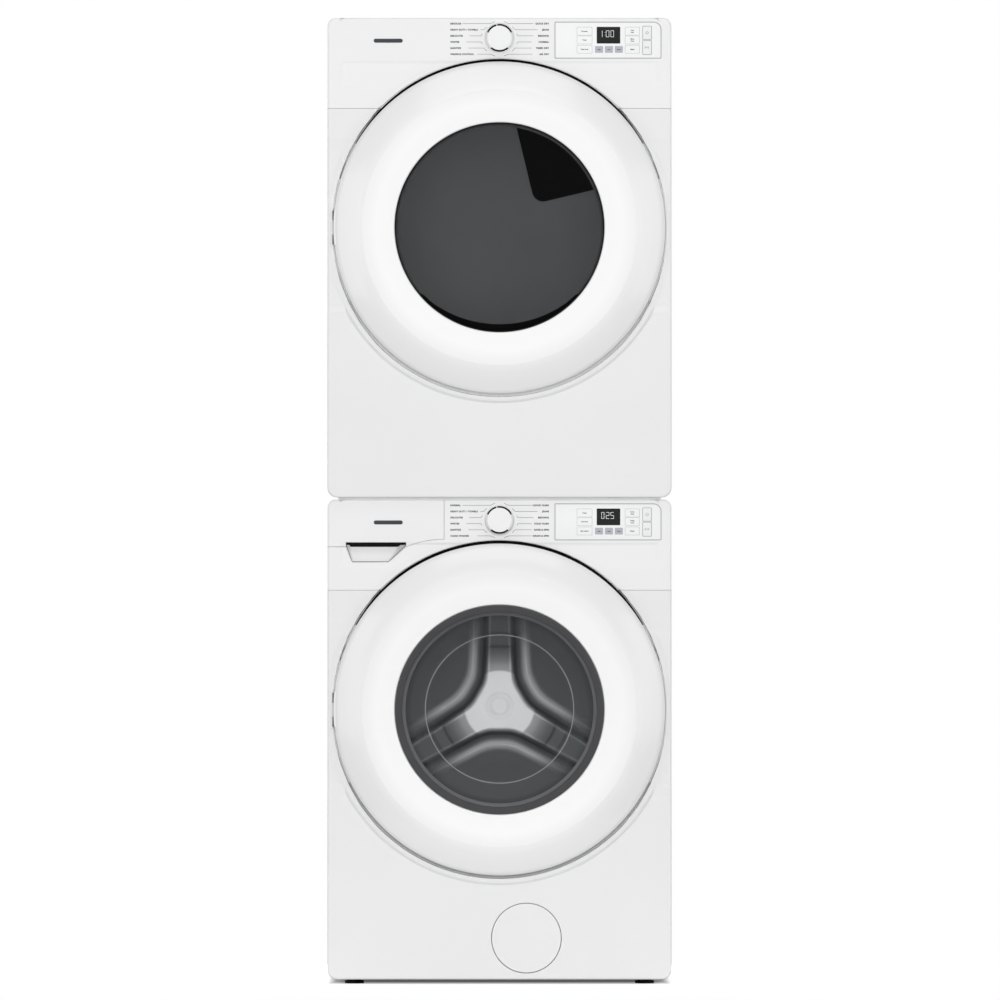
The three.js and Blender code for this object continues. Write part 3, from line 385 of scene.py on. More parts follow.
def edge_roll(x, h, height, radius=CONSOLE_ROLL):
    """How far the rounded outer edge falls back: r - sqrt(r^2 - (r - d)^2) at a distance d inside the outline,
    with d measured from the sides, the top and the corner arcs."""
    inner_x, inner_h = 343 - TOP_CORNER, height - TOP_CORNER
    past_x, past_h = np.maximum(np.abs(x) - inner_x, 0), np.maximum(h - inner_h, 0)
    d = TOP_CORNER - np.hypot(past_x, past_h)
    d = np.clip(d, 0, radius)
    return radius - np.sqrt(np.maximum(radius ** 2 - (radius - d) ** 2, 0))


def console_columns(height, left=None, right=None):
    """Fractions and fixed stations across, given as (share of the side's half width, offset) pairs, dense at
    the rounded edges and at the ends of the ledge."""
    near = [0, 0.15, 0.5, 1.0, 1.7, 2.6, 3.7, 5.0, 8, 12, 16, 22]
    middle = np.unique(np.concatenate([[-318, -315, -312, -309, 309, 312, 315, 318], np.arange(-306, 307, 9.0)]))
    columns = [(-1, c) for c in near] + [(0, c) for c in middle] + [(1, -c) for c in near[::-1]]
    columns = np.array(columns, float)
    return columns


def console_foot(x, parting, door_h):
    """Lower edge of the console at x: the parting line, or the outside of the gap over the door if higher."""
    rise = np.sqrt(np.maximum(1 - (x / GAP_OUTER) ** 2, 0))
    return np.maximum(parting, door_h + np.sqrt(np.maximum(gap_outer(rise) ** 2 - x ** 2, 0)))


def console_patch(columns, share, rows, height, parting, door_h):
    """Grid of (x, y, h): a column (s, c) stands at s times the half width at h, plus c. Its points go in equal
    shares from its foot to the first of rows, and then on up through rows."""
    foot = console_foot(np.where(columns[:, 0] == 0, columns[:, 1], 343), parting, door_h)[:, None]
    h = np.concatenate([foot + share * (rows[0] - foot), np.broadcast_to(rows, (len(columns), len(rows)))], 1)
    x = columns[:, :1] * side_of(h, height) + columns[:, 1:]
    y = console_face(x, h, height) + edge_roll(x, h, height)
    y[:, 0] += 0.5
    return np.stack([x, y, h], -1)


def border(grid, back):
    """The outline of a grid, anticlockwise seen from in front, carried straight back to Y = back."""
    loop = np.concatenate([grid[:-1, 0], grid[-1, :-1], grid[:0:-1, -1], grid[0, :0:-1]])
    behind = loop.copy()
    behind[:, 1] = np.maximum(back, loop[:, 1] + 1)
    return (np.stack([behind, loop], 1), True, False, ())


def raised(grid, z):
    return grid + np.array([0, 0, z])


console_top = mm("dryer_console")[1][2] - mm("dryer_console")[0][2]
cabinet_foot = {m: mm(f"{m}_front_panel")[0][2] for m in MACHINES}
HEIGHT = mm("dryer_console")[1][2] - cabinet_foot["dryer"]
DOOR_H = door_centre("dryer") - cabinet_foot["dryer"]
parting = HEIGHT - console_top
share = np.concatenate([[0, 0.004, 0.012], np.linspace(0.03, 0.99, 76)])
rows = np.concatenate([[880.5], np.arange(884, 942, 5.0),
                       HEIGHT - np.array([13, 10, 8, 6, 4.6, 3.5, 2.6, 1.8, 1.1, 0.6, 0.25, 0.05, 0])])
console_grid = raised(console_patch(console_columns(HEIGHT), share, rows, HEIGHT, parting, DOOR_H), cabinet_foot["dryer"])
piece("dryer_console_moulding", [(console_grid, False, False, ()), border(console_grid, -328.0)], "stack",
      satin, ["dryer_console"], crease=40)


# ---- Dispenser drawer ----------------------------------------------------------------------------
# The washer's console is split. Its upper left part is the front of the detergent drawer, which follows
# the round door and then runs level, and a finger pocket is sunk in the console under it.

DRAWER_FOOT, DRAWER_STEP, DRAWER_END = HEIGHT - 94.0, HEIGHT - 79.0, -110.7
SLOT_LEFT, SLOT_RIGHT, SLOT_TOP, SLOT_FOOT = -306.5, -186.3, HEIGHT - 85.0, HEIGHT - 90.5
POCKET_FOOT = HEIGHT - 125.4
DRAWER_GAP = 0.6


def drawer_foot(x):
    """Height of the drawer's lower edge: level, then rising over the door as 1 - (1 - t)^2."""
    t = np.clip((x - SLOT_RIGHT) / (DRAWER_END - 2 - SLOT_RIGHT), 0, 1)
    return DRAWER_FOOT + (DRAWER_STEP - DRAWER_FOOT) * (1 - (1 - t) ** 2)


def strip(points, wide, y_front, y_back):
    """A flat printed line of that width along a polyline of (x, z), mitred at its bends."""
    points = np.asarray(points, float)
    along = np.diff(points, axis=0)
    along /= np.linalg.norm(along, axis=1, keepdims=True)
    before, after = np.vstack([along[:1], along]), np.vstack([along, along[-1:]])
    tangent = before + after
    tangent /= np.linalg.norm(tangent, axis=1, keepdims=True)
    side = np.stack([-tangent[:, 1], tangent[:, 0]], -1)
    side *= (wide / 2 / np.maximum((side * np.stack([-after[:, 1], after[:, 0]], -1)).sum(1), 0.4))[:, None]
    left, right = points + side, points - side
    ring = [(left, y_back), (left, y_front), (right, y_front), (right, y_back)]
    grid = np.stack([np.stack([p[:, 0], np.full(len(p), y), p[:, 1]], -1) for p, y in ring])
    return (grid, True, False, ("first", "last"))


def pocket_depth(x, h):
    """Depth of the finger pocket: the least of a slanted floor and two steep sides, softly joined."""
    rise = (h - POCKET_FOOT) / (DRAWER_FOOT - POCKET_FOOT)
    left = -294 + (SLOT_LEFT + 294) * rise
    right = -221.2 + (SLOT_RIGHT + 221.2) * rise
    parts = np.stack([2.5 + (h - POCKET_FOOT) * 0.6, (h - POCKET_FOOT) * 3, (x - left) * 2.5, (right - x) * 1.4])
    depth = -np.log(np.exp(-np.clip(parts, -30, 60) / 1.0).sum(0)) * 1.0
    return np.clip(depth, 0, 22)


split = DRAWER_END + DRAWER_GAP
left_x = np.unique(np.concatenate([-343 + np.array([0, 0.15, 0.5, 1, 1.7, 2.6, 3.7, 5, 8, 12, 16, 22]),
                                   np.arange(-318, -308, 3.0), np.arange(-307, -290, 1.0),
                                   np.arange(-290, -224, 6.0), np.arange(-224, -180, 1.0),
                                   np.arange(-180, -111, 3.0), [split]]))
in_pocket = (left_x > SLOT_LEFT + 0.5) & (left_x < SLOT_RIGHT - 0.5)
left_top = np.where(in_pocket, SLOT_FOOT, drawer_foot(left_x) - DRAWER_GAP)
left_foot = console_foot(left_x, parting, DOOR_H)[:, None]
left_h = left_foot + np.append(share, 1.0)[None, :] * (left_top[:, None] - left_foot)
left_grid = np.stack([np.broadcast_to(left_x[:, None], left_h.shape), left_h, left_h], -1).copy()
left_grid[..., 1] = (console_face(left_grid[..., 0], left_h, HEIGHT) + edge_roll(left_grid[..., 0], left_h, HEIGHT)
                     + pocket_depth(left_grid[..., 0], left_h))
right_columns = console_columns(HEIGHT)
right_columns = right_columns[~((right_columns[:, 0] < 0) | ((right_columns[:, 0] == 0) & (right_columns[:, 1] < split)))]
right_columns = np.vstack([[[0, split]], right_columns])
right_grid = console_patch(right_columns, share, rows, HEIGHT, parting, DOOR_H)
left_grid[:, 0, 1] += 0.5
left_grid, right_grid = (raised(grid, cabinet_foot["washer"]) for grid in (left_grid, right_grid))
piece("washer_console_moulding", [(left_grid, False, False, ()), (right_grid, False, False, ()),
                                  border(left_grid, -318.0), border(right_grid, -328.0)],
      "stack", satin, ["washer_console"], crease=40)
# A grey line along the pocket's sides and foot is painted shadow, for the shadow where the pocket meets the face.
pocket_shadow_line, pocket_shadow_line_shader = finish("painted shadow line round pocket", "#77787A", 0.6)
mottle(pocket_shadow_line, pocket_shadow_line_shader, "#707173", "#7E7F81", 30)
# A black sheet behind the slot over the pocket is painted shadow, so that the slot shows dark.
pocket_shadow_black, pocket_shadow_black_shader = finish("black painted shadow behind pocket slot", "#0C0C0D", 0.8)
mottle(pocket_shadow_black, pocket_shadow_black_shader, "#0A0A0B", "#101011", 20)
foot = cabinet_foot["washer"]
corners = [(SLOT_LEFT + 1, SLOT_FOOT - 0.5), (-294, POCKET_FOOT + 1.5), (-221.2, POCKET_FOOT + 1.5),
           (SLOT_RIGHT - 1, SLOT_FOOT - 0.5)]
shadow_line_y = float(console_face(np.array([-250.0]), np.array([POCKET_FOOT + 12]), HEIGHT)[0])
piece("washer_pocket_painted_shadow_line", [strip([(x, foot + h) for x, h in corners], 1.4, shadow_line_y - 0.35, shadow_line_y + 1.5)],
      "stack", pocket_shadow_line)
piece("washer_pocket_painted_shadow", [slab(SLOT_LEFT - 2, SLOT_RIGHT + 2, foot + SLOT_FOOT - 5, foot + SLOT_TOP + 1, (0.5,) * 4,
                                     -315.4, -314.2, 0.2)], "stack", pocket_shadow_black)
face_x = np.unique(np.concatenate([np.arange(-318, -306, 3.0), [SLOT_LEFT - 0.05, SLOT_LEFT + 0.05],
                                   np.arange(-304, -187, 6.0), [SLOT_RIGHT - 0.05, SLOT_RIGHT + 0.05],
                                   np.arange(-182, -114, 3.0), [DRAWER_END - 0.8, DRAWER_END - 0.2, DRAWER_END]]))
face_columns = np.array([(-1, c) for c in (0, 0.15, 0.5, 1, 1.7, 2.6, 3.7, 5, 8, 12, 16, 22)]
                        + [(0, c) for c in face_x])
fixed_rows = rows[rows > 880]
face_foot = drawer_foot(np.where(face_columns[:, 0] < 0, -340, face_columns[:, 1]))
in_slot = (face_columns[:, 0] == 0) & (face_columns[:, 1] > SLOT_LEFT) & (face_columns[:, 1] < SLOT_RIGHT)
face_foot = np.where(in_slot, SLOT_TOP, face_foot)
foot_share = np.array([0, 0.02, 0.06, 0.15, 0.3, 0.5, 0.7, 0.85])
face_h = np.concatenate([face_foot[:, None] + foot_share * (fixed_rows[0] - face_foot[:, None]),
                         np.broadcast_to(fixed_rows, (len(face_foot), len(fixed_rows)))], 1)
face_x = face_columns[:, :1] * side_of(face_h, HEIGHT) + face_columns[:, 1:]
face_y = console_face(face_x, face_h, HEIGHT) + edge_roll(face_x, face_h, HEIGHT)
face_y[:, 0] += 0.8
face_y[-1] += 0.8
face_y[-2] += 0.15
drawer_grid = raised(np.stack([face_x, face_y, face_h], -1), cabinet_foot["washer"])
piece("drawer_face", [(drawer_grid, False, False, ()), border(drawer_grid, -328.5)], "washer_drawer",
      satin, ["washer_drawer_front"], crease=40)


# ---- Control lens, display and keys ---------------------------------------------------------------
# A flat clear-coated white lens is set into each console at the right with a fine grey line round it.
# It holds a dark display with pale segment digits, faint touch pads, three grey pads and two real keys.

FACE = -338.5
lens_white, lens_shader = finish("printed white lens", "#F7F7F7", 0.18, Coat_Weight=0.3, Coat_Roughness=0.05)
mottle(lens_white, lens_shader, "#F5F6F7", "#F8F8F8", 200)
lens_line, line_shader = finish("grey lens border", "#9A9B9D", 0.4)
mottle(lens_line, line_shader, "#969799", "#A2A3A5", 60)
display_black, display_shader = finish("dark display window", "#2E2E2F", 0.12, Specular_IOR_Level=0.3)
mottle(display_black, display_shader, "#2B2B2C", "#323233", 40)
segment_light, segment_shader = finish("pale display segments", "#D6D8DA", 0.4)
segment_shader.inputs["Emission Color"].default_value = linear("#D6D8DA")
segment_shader.inputs["Emission Strength"].default_value = 0.35
mottle(segment_light, segment_shader, "#D0D2D4", "#DADCDE", 10)
pad_grey, pad_shader = finish("grey touch pad", "#B7B8C2", 0.35)
mottle(pad_grey, pad_shader, "#B3B4BE", "#BBBCC5", 30)
print_grey, print_shader = finish("grey printing ink", "#1B1C1D", 0.5)
mottle(print_grey, print_shader, "#151516", "#1F2021", 15)
print_fine, print_fine_shader = finish("light grey printing ink", "#3C3D40", 0.5)
mottle(print_fine, print_fine_shader, "#48494C", "#56575A", 15)
key_white, key_shader = finish("white key cap", "#F1F1F2", 0.3)
mottle(key_white, key_shader, "#EFEFF0", "#F3F3F4", 50)


def frame_line(x0, x1, z0, z1, radii, wide, y_front, y_back):
    """A flat line round a rounded rectangle, as a strip between it and its copy inset by its width."""
    outer = rounded_rect(x0, x1, z0, z1, radii)
    inner = rounded_rect(x0 + wide, x1 - wide, z0 + wide, z1 - wide, [max(r - wide, 0.1) for r in radii])
    rings = [(outer, y_back), (outer, y_front), (inner, y_front), (inner, y_back)]
    grid = np.stack([np.stack([loop[:, 0], np.full(len(loop), y), loop[:, 1]], -1) for loop, y in rings], 1)
    return (grid, True, False, ())


def words(name, lines, material, y, body="stack"):
    """Printed words as one mesh. lines holds (text, x, z, cap height, align); the letters are made by the text
    tool in a plain sans face, turned into mesh and stood upright on the face, at Y = y."""
    points, faces, start = [], [], 0
    for text, x, z, cap, align in lines:
        curve = bpy.data.curves.new("letters", "FONT")
        curve.body = text
        curve.size = cap / 0.72
        curve.align_x = align
        curve.offset = cap * 0.07
        curve.space_character = 1.12
        curve.resolution_u = 3
        holder = bpy.data.objects.new("letters", curve)
        bpy.context.scene.collection.objects.link(holder)
        mesh = bpy.data.meshes.new_from_object(holder.evaluated_get(bpy.context.evaluated_depsgraph_get()))
        flat = np.empty(len(mesh.vertices) * 3)
        mesh.vertices.foreach_get("co", flat)
        flat = flat.reshape(-1, 3)
        points.append(np.stack([x + flat[:, 0], np.full(len(flat), float(y)), z + flat[:, 1]], -1) / 1000)
        faces += [[v + start for v in polygon.vertices] for polygon in mesh.polygons]
        start += len(flat)
        bpy.data.objects.remove(holder)
        bpy.data.curves.remove(curve)
        bpy.data.meshes.remove(mesh)
    mesh = bpy.data.meshes.new(name)
    mesh.from_pydata(np.concatenate(points).tolist(), [], faces)
    made = bpy.data.objects.new(name, mesh)
    bpy.context.scene.collection.objects.link(made)
    mesh.materials.append(material)
    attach(made, body)
    return made


def bar(x0, x1, z0, z1, y_front=FACE - 0.85, y_back=FACE - 0.3, r=0.2, edge=0.1):
    return slab(x0, x1, z0, z1, (r,) * 4, y_front, y_back, edge, steps=2)


SEGMENTS = {"0": "abcdef", "1": "bc", "2": "abdeg", "5": "acdfg"}


def digit(symbol, x, z, wide, tall, thick=0.9):
    """The lit bars of a seven segment digit whose lower left corner is at (x, z)."""
    half, gap = tall / 2, 0.25
    place = {
        "a": (x + gap, x + wide - gap, z + tall - thick, z + tall),
        "g": (x + gap, x + wide - gap, z + half - thick / 2, z + half + thick / 2),
        "d": (x + gap, x + wide - gap, z, z + thick),
        "f": (x, x + thick, z + half + gap, z + tall - gap),
        "e": (x, x + thick, z + gap, z + half - gap),
        "b": (x + wide - thick, x + wide, z + half + gap, z + tall - gap),
        "c": (x + wide - thick, x + wide, z + gap, z + half - gap),
    }
    return [bar(*place[name]) for name in SEGMENTS[symbol]]


PAD_WORDS = {
    "washer": (["Temp", "Soil level", "Spin speed"], ["Extra", "rinse", "Delay", "start"]),
    "dryer": (["Dryness", "Temp", "Heat level"], ["Less", "time", "More", "time"]),
}
READING = {"washer": "0:25", "dryer": "1:00"}
PROGRAMMES = {
    "washer": (["NORMAL", "HEAVY DUTY / TOWELS", "DELICATES", "WHITES", "SANITIZE", "CLEAN WASHER"],
               ["QUICK WASH", "JEANS", "BEDDING", "COLD WASH", "RINSE & SPIN", "DRAIN & SPIN"]),
    "dryer": (["REGULAR", "HEAVY DUTY / TOWELS", "DELICATES", "WHITES", "SANITIZE", "WRINKLE CONTROL"],
              ["QUICK DRY", "JEANS", "BEDDING", "NORMAL", "TIMED DRY", "AIR DRY"]),
}
lens_low, lens_high = mm("dryer_control_lens") - np.array([0, 0, cabinet_foot["dryer"]])

for machine in MACHINES:
    foot = cabinet_foot[machine]
    top = foot + HEIGHT
    x0, x1, z0, z1 = lens_low[0], lens_high[0], foot + lens_low[2], foot + lens_high[2]
    piece(f"{machine}_lens", [slab(x0 + 0.4, x1 - 0.4, z0 + 0.4, z1 - 0.4, (1.5, 14.6, 1.5, 1.5), lens_low[1],
                                   lens_high[1], 0.4)], "stack", lens_white,
          [f"{machine}_control_lens"])
    piece(f"{machine}_lens_border", [frame_line(x0 - 0.5, x1 + 0.5, z0 - 0.5, z1 + 0.5, (2, 15.5, 2, 2), 1.5,
                                                FACE - 0.68, FACE + 0.6)], "stack", lens_line)
    piece(f"{machine}_display", [slab(193.9, 240.9, top - 51.2, top - 17.8, (1.2,) * 4, FACE - 0.78, FACE, 0.15)],
          "stack", display_black)
    left, right = READING[machine].split(":")
    base, step = top - 38.3, 8.6
    bars = digit(left, 203.2 - (3.5 if left == "1" else 0), base, 5.8, 13.2)
    bars += digit(right[0], 212.4, base, 6.6, 13.2) + digit(right[1], 221.6, base, 6.6, 13.2)
    bars += [bar(210.2, 211.1, base + 3.2, base + 4.4), bar(210.2, 211.1, base + 8.6, base + 9.8)]
    piece(f"{machine}_digits", bars, "stack", segment_light)
    pads = [slab(190.6 + k * 19.7, 206.7 + k * 19.7, top - 69.6, top - 56.2, (1.2,) * 4, FACE - 0.8, FACE, 0.12)
            for k in range(3)]
    piece(f"{machine}_touch_pads", pads, "stack", pad_grey)
    outlines = [frame_line(x, x + wide, top - z - 8.2, top - z + 8.2, (1.5,) * 4, 0.35, FACE - 0.72, FACE - 0.3)
                for z in (26.5, 44.0, 62.6) for x, wide in ((154.4, 30.5), (250.6, 29.0))]
    piece(f"{machine}_pad_outlines", outlines, "stack", print_fine)
    left_words, right_words = PAD_WORDS[machine]
    print_y = FACE - 0.68
    lines = [(text, 169.6, top - z - 1.1, 2.3, "CENTER") for text, z in zip(left_words, (26.5, 44.0, 62.6))]
    lines += [(text, 265.1, top - z - 1.1, 2.3, "CENTER") for text, z in zip(right_words, (24.5, 28.6, 42.0, 46.1))]
    lines += [("Signal" if machine == "dryer" else "Steam", 265.1, top - 63.7, 2.3, "CENTER")]
    words(f"{machine}_pad_words", lines, print_grey, print_y)
    pad_lines = [(text, 198.65 + k * 19.7, top - 64.0, 1.9, "CENTER") for k, text in enumerate(("Light", "Lock", "Steam"))]
    words(f"{machine}_pad_labels", pad_lines, print_grey, FACE - 0.82)
    left_words, right_words = PROGRAMMES[machine]
    lines = [(text, -98.0, top - 13.0 - 12.2 * k, 3.3, "LEFT") for k, text in enumerate(left_words)]
    lines += [(text, 98.5, top - 13.0 - 12.2 * k, 3.3, "RIGHT") for k, text in enumerate(right_words)]
    words(f"{machine}_programme_words", lines, print_grey, FACE - 0.08)
    knob_z = top - 40.5
    leaders = []
    for side in (-1, 1):
        starts = ([-74, -38, -60, -66, -62, -44], [68, 76, 68, 64, 64, 66])[side > 0]
        bends = [(18.3, 29.1, 9.0, 33.2), (31.0, 16.9, 25.5, 23.0), (36.7, 4.7, 34.2, 9.0),
                 (36.7, -7.5, 34.4, -11.0), (31.0, -19.7, 25.2, -25.8), (18.3, -31.9, 9.2, -35.2)]
        for start, (x, z, x_end, z_end) in zip(starts, bends):
            leaders.append(strip([(start, knob_z + z), (side * x, knob_z + z), (side * x_end, knob_z + z_end)], 0.7,
                                 FACE - 0.09, FACE + 0.2))
    piece(f"{machine}_leader_lines", leaders, "stack", print_fine)
    for key in ("power", "start"):
        low, high = mm(f"{machine}_{key}_key")
        x0, x1, z0, z1 = low[0], high[0], low[2], high[2]
        piece(f"{machine}_{key}_cap", [slab(x0, x1, z0, z1, (1.2,) * 4, low[1] - 0.25, high[1], 0.35)],
              f"{machine}_{key}_key", key_white, [f"{machine}_{key}_key"])
        piece(f"{machine}_{key}_surround", [frame_line(x0 - 1.2, x1 + 1.2, z0 - 1.2, z1 + 1.2, (2.2,) * 4, 1.0,
                                                       FACE - 0.8, FACE - 0.2)], "stack", lens_line)
        x, z = (x0 + x1) / 2, (z0 + z1) / 2
        if key == "power":
            angle = np.radians(np.linspace(120, 420, 25))
            marks = [strip(np.stack([x + 2.6 * np.cos(angle), z + 2.6 * np.sin(angle)], -1), 0.55, low[1] - 0.31, low[1] - 0.1),
                     strip([(x, z + 0.6), (x, z + 3.4)], 0.55, low[1] - 0.31, low[1] - 0.1)]
        else:
            marks = [strip([(x - 4.2, z - 1.9), (x - 4.2, z + 1.9), (x - 0.9, z), (x - 4.2, z - 1.9)], 0.5, low[1] - 0.31,
                           low[1] - 0.1),
                     strip([(x + 1.4, z - 1.9), (x + 1.4, z + 1.9)], 0.6, low[1] - 0.31, low[1] - 0.1),
                     strip([(x + 3.4, z - 1.9), (x + 3.4, z + 1.9)], 0.6, low[1] - 0.31, low[1] - 0.1)]
        piece(f"{machine}_{key}_symbol", marks, f"{machine}_{key}_key", print_grey)


# ---- Knobs and name bars -------------------------------------------------------------------------
# Each knob is a white moulding with a light grey band round its front edge that stands in for a
# chromium-plated one, black arcs painted on the band above and below as painted reflections, and a printed
# tick. It turns in a thin raised ring. A plain grey bar stands where a maker would put a badge.

knob_band_grey, knob_band_grey_shader = finish("light grey knob band", "#D8D9DB", 0.25, 0.0)
rough_drift(knob_band_grey, knob_band_grey_shader, 0.22, 0.28, 6)
knob_white, knob_shader = finish("white knob moulding", "#F2F2F3", 0.3)
mottle(knob_white, knob_shader, "#F0F0F2", "#F4F4F4", 30)
knob_reflection_black, knob_reflection_shader = finish("black painted reflection on knob band", "#0B0B0C", 0.3)
mottle(knob_reflection_black, knob_reflection_shader, "#09090A", "#0E0E0F", 10)
bar_grey, bar_shader = finish("brushed grey name bar", "#6C6E73", 0.35, 0.6)
grain(bar_grey, bar_shader, 0.25, 0.01, stretch=(0.05, 1, 1))


def fillet(points, radii, steps=6):
    """Replaces each inner corner of a profile with a quadratic curve (1-t)^2 A + 2t(1-t) P + t^2 B, where A and
    B lie at the given distance before and after the corner P."""
    points = np.asarray(points, float)
    t = np.linspace(0, 1, steps)[:, None]
    made = [points[:1]]
    for p, before, after, r in zip(points[1:-1], points[:-2], points[2:], radii):
        if r <= 0:
            made.append(p[None])
            continue
        to_a, to_b = before - p, after - p
        a = p + to_a * min(r / np.linalg.norm(to_a), 0.49)
        b = p + to_b * min(r / np.linalg.norm(to_b), 0.49)
        made.append((1 - t) ** 2 * a + 2 * t * (1 - t) * p + t ** 2 * b)
    made.append(points[-1:])
    return np.concatenate(made)


for machine in MACHINES:
    top = cabinet_foot[machine] + HEIGHT
    knob_z = top - 40.5
    low, high = mm(f"{machine}_knob")
    face = low[1]
    cap = fillet([(3, -330), (3, FACE - 1.1), (24.6, FACE - 1.1), (24.9, face + 0.9), (23.8, face + 0.05), (0.05, face)],
                 (0, 0.5, 0.8, 0.6))
    piece(f"{machine}_knob_cap", [(turned(cap, 0, knob_z, 96), True, False, ("first", "last"))], f"{machine}_knob",
          knob_white, [f"{machine}_knob"])
    band = fillet([(25.2, FACE - 1.2), (27.6, FACE - 1.2), (27.6, face + 0.9), (27.2, face + 0.3), (24.9, face + 0.3),
                   (24.7, face + 2.0)], (0.4, 0.4, 0.3, 0.3), 9)
    piece(f"{machine}_knob_band", [(turned(band, 0, knob_z, 128), True, False, ())], f"{machine}_knob", knob_band_grey)
    # The black arcs above and below on the band are painted reflections.
    for name, first, last in (("upper", 25, 155), ("lower", -130, -50)):
        sweep = np.radians(np.linspace(first, last, 60))
        arc = [(25.9 * math.cos(a), knob_z + 25.9 * math.sin(a)) for a in sweep]
        piece(f"{machine}_knob_{name}_inlay", [strip(arc, 3.3, face + 0.22, face + 0.8)], f"{machine}_knob",
              knob_reflection_black)
    tick = math.radians(102)
    mark = [(r * math.cos(tick), knob_z + r * math.sin(tick)) for r in (21.5, 27.9)]
    piece(f"{machine}_knob_tick", [strip(mark, 1.6, face - 0.1, face + 0.6)], f"{machine}_knob", knob_white)
    collar = fillet([(31.2, FACE + 0.2), (31.2, FACE - 0.5), (29.2, FACE - 0.5), (28.9, FACE + 0.2)], (0.4, 0.4), 4)
    piece(f"{machine}_knob_collar", [(turned(collar, 0, knob_z, 96), True, False, ())], "stack", satin)
    piece(f"{machine}_name_bar", [slab(-251, -193, top - 49.5, top - 41.5, (4,) * 4, FACE - 1.1, FACE + 0.3, 0.6)],
          "washer_drawer" if machine == "washer" else "stack", bar_grey)


# ---- Doors ---------------------------------------------------------------------------------------
# The door ring is one glossy white moulding whose crest stands proud between a broad outer slope and a
# narrower inner one. The outer slope is painted a shade darker than the inner one, as painted shade. A plain
# white liner with two hooks closes it behind, and the glass is held between.

def radial_tone(name, centre_z, inside_mm, blend_mm, rim, plug, roughness, **sockets):
    """A moulding with one tone outside a radius from the door's axis and another inside it, by Object place."""
    material, shader = finish(name, rim, roughness, **sockets)
    place = add(material, "ShaderNodeTexCoord").outputs["Object"]
    moved = add(material, "ShaderNodeVectorMath", {0: place, 1: (0, 0, centre_z / 1000)}, operation="SUBTRACT")
    flat = add(material, "ShaderNodeVectorMath", {0: moved.outputs[0], 1: (1, 0, 1)}, operation="MULTIPLY")
    away = add(material, "ShaderNodeVectorMath", {0: flat.outputs[0]}, operation="LENGTH")
    inside = add(material, "ShaderNodeMapRange", {"Value": away.outputs["Value"], "From Min": inside_mm / 1000,
                                                 "From Max": (inside_mm + blend_mm) / 1000})
    tone = add(material, "ShaderNodeMix", {"Factor": inside.outputs["Result"]}, data_type="RGBA")
    tone.inputs["A"].default_value = linear(plug)
    tone.inputs["B"].default_value = linear(rim)
    material.node_tree.links.new(tone.outputs["Result"], shader.inputs["Base Color"])
    return material, shader


RING_R, CREST_R, WINDOW_R = 331.0, 274.0, 209.0
CREST_Y, LIP_Y, RING_BACK = -393.0, -382.0, -353.0
HINGE_SIDE, HINGE_HALF, GRIP_HALF = -1, 37.0, 62.0


def ring_patch(z):
    """The ring turned about its axis. Behind the hinge and behind the grip its rim ends further forward, with
    an eased step at either end of each."""
    profile = fillet([(326.5, RING_BACK), (RING_R, RING_BACK), (RING_R, -364.5), (325.5, -370.8),
                      (300, -383.6), (CREST_R, CREST_Y), (240, -388.9), (WINDOW_R + 1.5, LIP_Y - 1.2),
                      (WINDOW_R, LIP_Y + 1.5), (WINDOW_R, LIP_Y + 8)],
                     (0.6, 5.0, 4.0, 10.0, 2.2, 12.0, 1.4, 1.0), 7)
    grid = turned(profile, 0, z, 720)
    x, h = grid[..., 0], np.abs(grid[..., 2] - z)
    rim = profile[:, 0] > 320
    hinge = (1 - ease(h, HINGE_HALF - 1, HINGE_HALF + 1.5)) * (x < -200)
    grip = (1 - ease(h, GRIP_HALF - 3, GRIP_HALF + 3)) * (x > 200)
    limit = RING_BACK - 14.6 * hinge - 8.0 * grip
    limit = limit - 0.08 * np.arange(len(profile))[None, :] * (hinge > 0)
    grid[..., 1] = np.where(rim[None, :], np.minimum(grid[..., 1], limit), grid[..., 1])
    return (grid, True, False, ())


for machine in MACHINES:
    z = door_centre(machine)
    # Painted shade and light: the ring's colour is darker outside 246 mm from the axis and lighter inside it, for how
    # its slopes face the lamps.
    ring_white, ring_shader = radial_tone(f"glossy white {machine} door ring", z, 246, 44, "#EFEFEF", "#FCFCFC", 0.16,
                                       Coat_Weight=0.3, Coat_Roughness=0.06)
    grain(ring_white, ring_shader, 5.0, 0.008)
    rough_drift(ring_white, ring_shader, 0.14, 0.2, 110)
    piece(f"{machine}_door_ring", [ring_patch(z)], f"{machine}_door", ring_white,
          [f"{machine}_door_frame"], crease=60, wall=0.0)


for machine, plug in (("washer", "#EDEDEE"), ("dryer", "#77777A")):
    liner, liner_shader = radial_tone(f"satin {machine} door liner", door_centre(machine), 210.5, 0.6, "#F1F1F2", plug, 0.35)
    grain(liner, liner_shader, 1.2, 0.01)
    frame["nodes"][f"{machine}_door_liner"].data.materials[0] = liner

z = door_centre("dryer")
profile = fillet([(206, -371.9), (226, -371.9), (229, -356.4), (325, -356.4), (325, -352.8), (225, -352.8), (222, -369),
                  (208.6, -369), (207, -350), (204, -322), (202.6, -322), (205.4, -350), (206, -371.9)],
                 (1, 2, 1, 1, 2, 2, 1, 3, 0.6, 0.6, 3), 4)[:-1]
grid = turned(profile, 0, z, 360)
side = np.where(np.abs(grid[..., 2] - z) < HINGE_HALF + 1.5, -306.0, -400.0)
grip = np.where(np.abs(grid[..., 2] - z) < GRIP_HALF + 2, 297.0, 400.0)
grid[..., 0] = np.clip(grid[..., 0], side, grip)
hook = [slab(240.0, 248.0, z - 8.0, z + 2.0, (0.5,) * 4, -354, -338.0, 0.3),
        slab(240.0, 248.0, z - 8.0, z + 8.0, (0.5,) * 4, -343.0, -338.0, 0.3)]
piece("dryer_liner_moulding", [(grid, True, True, ())], "dryer_door", liner, ["dryer_door_liner"],
      crease=50)
piece("dryer_liner_hook", hook, "dryer_door", liner)

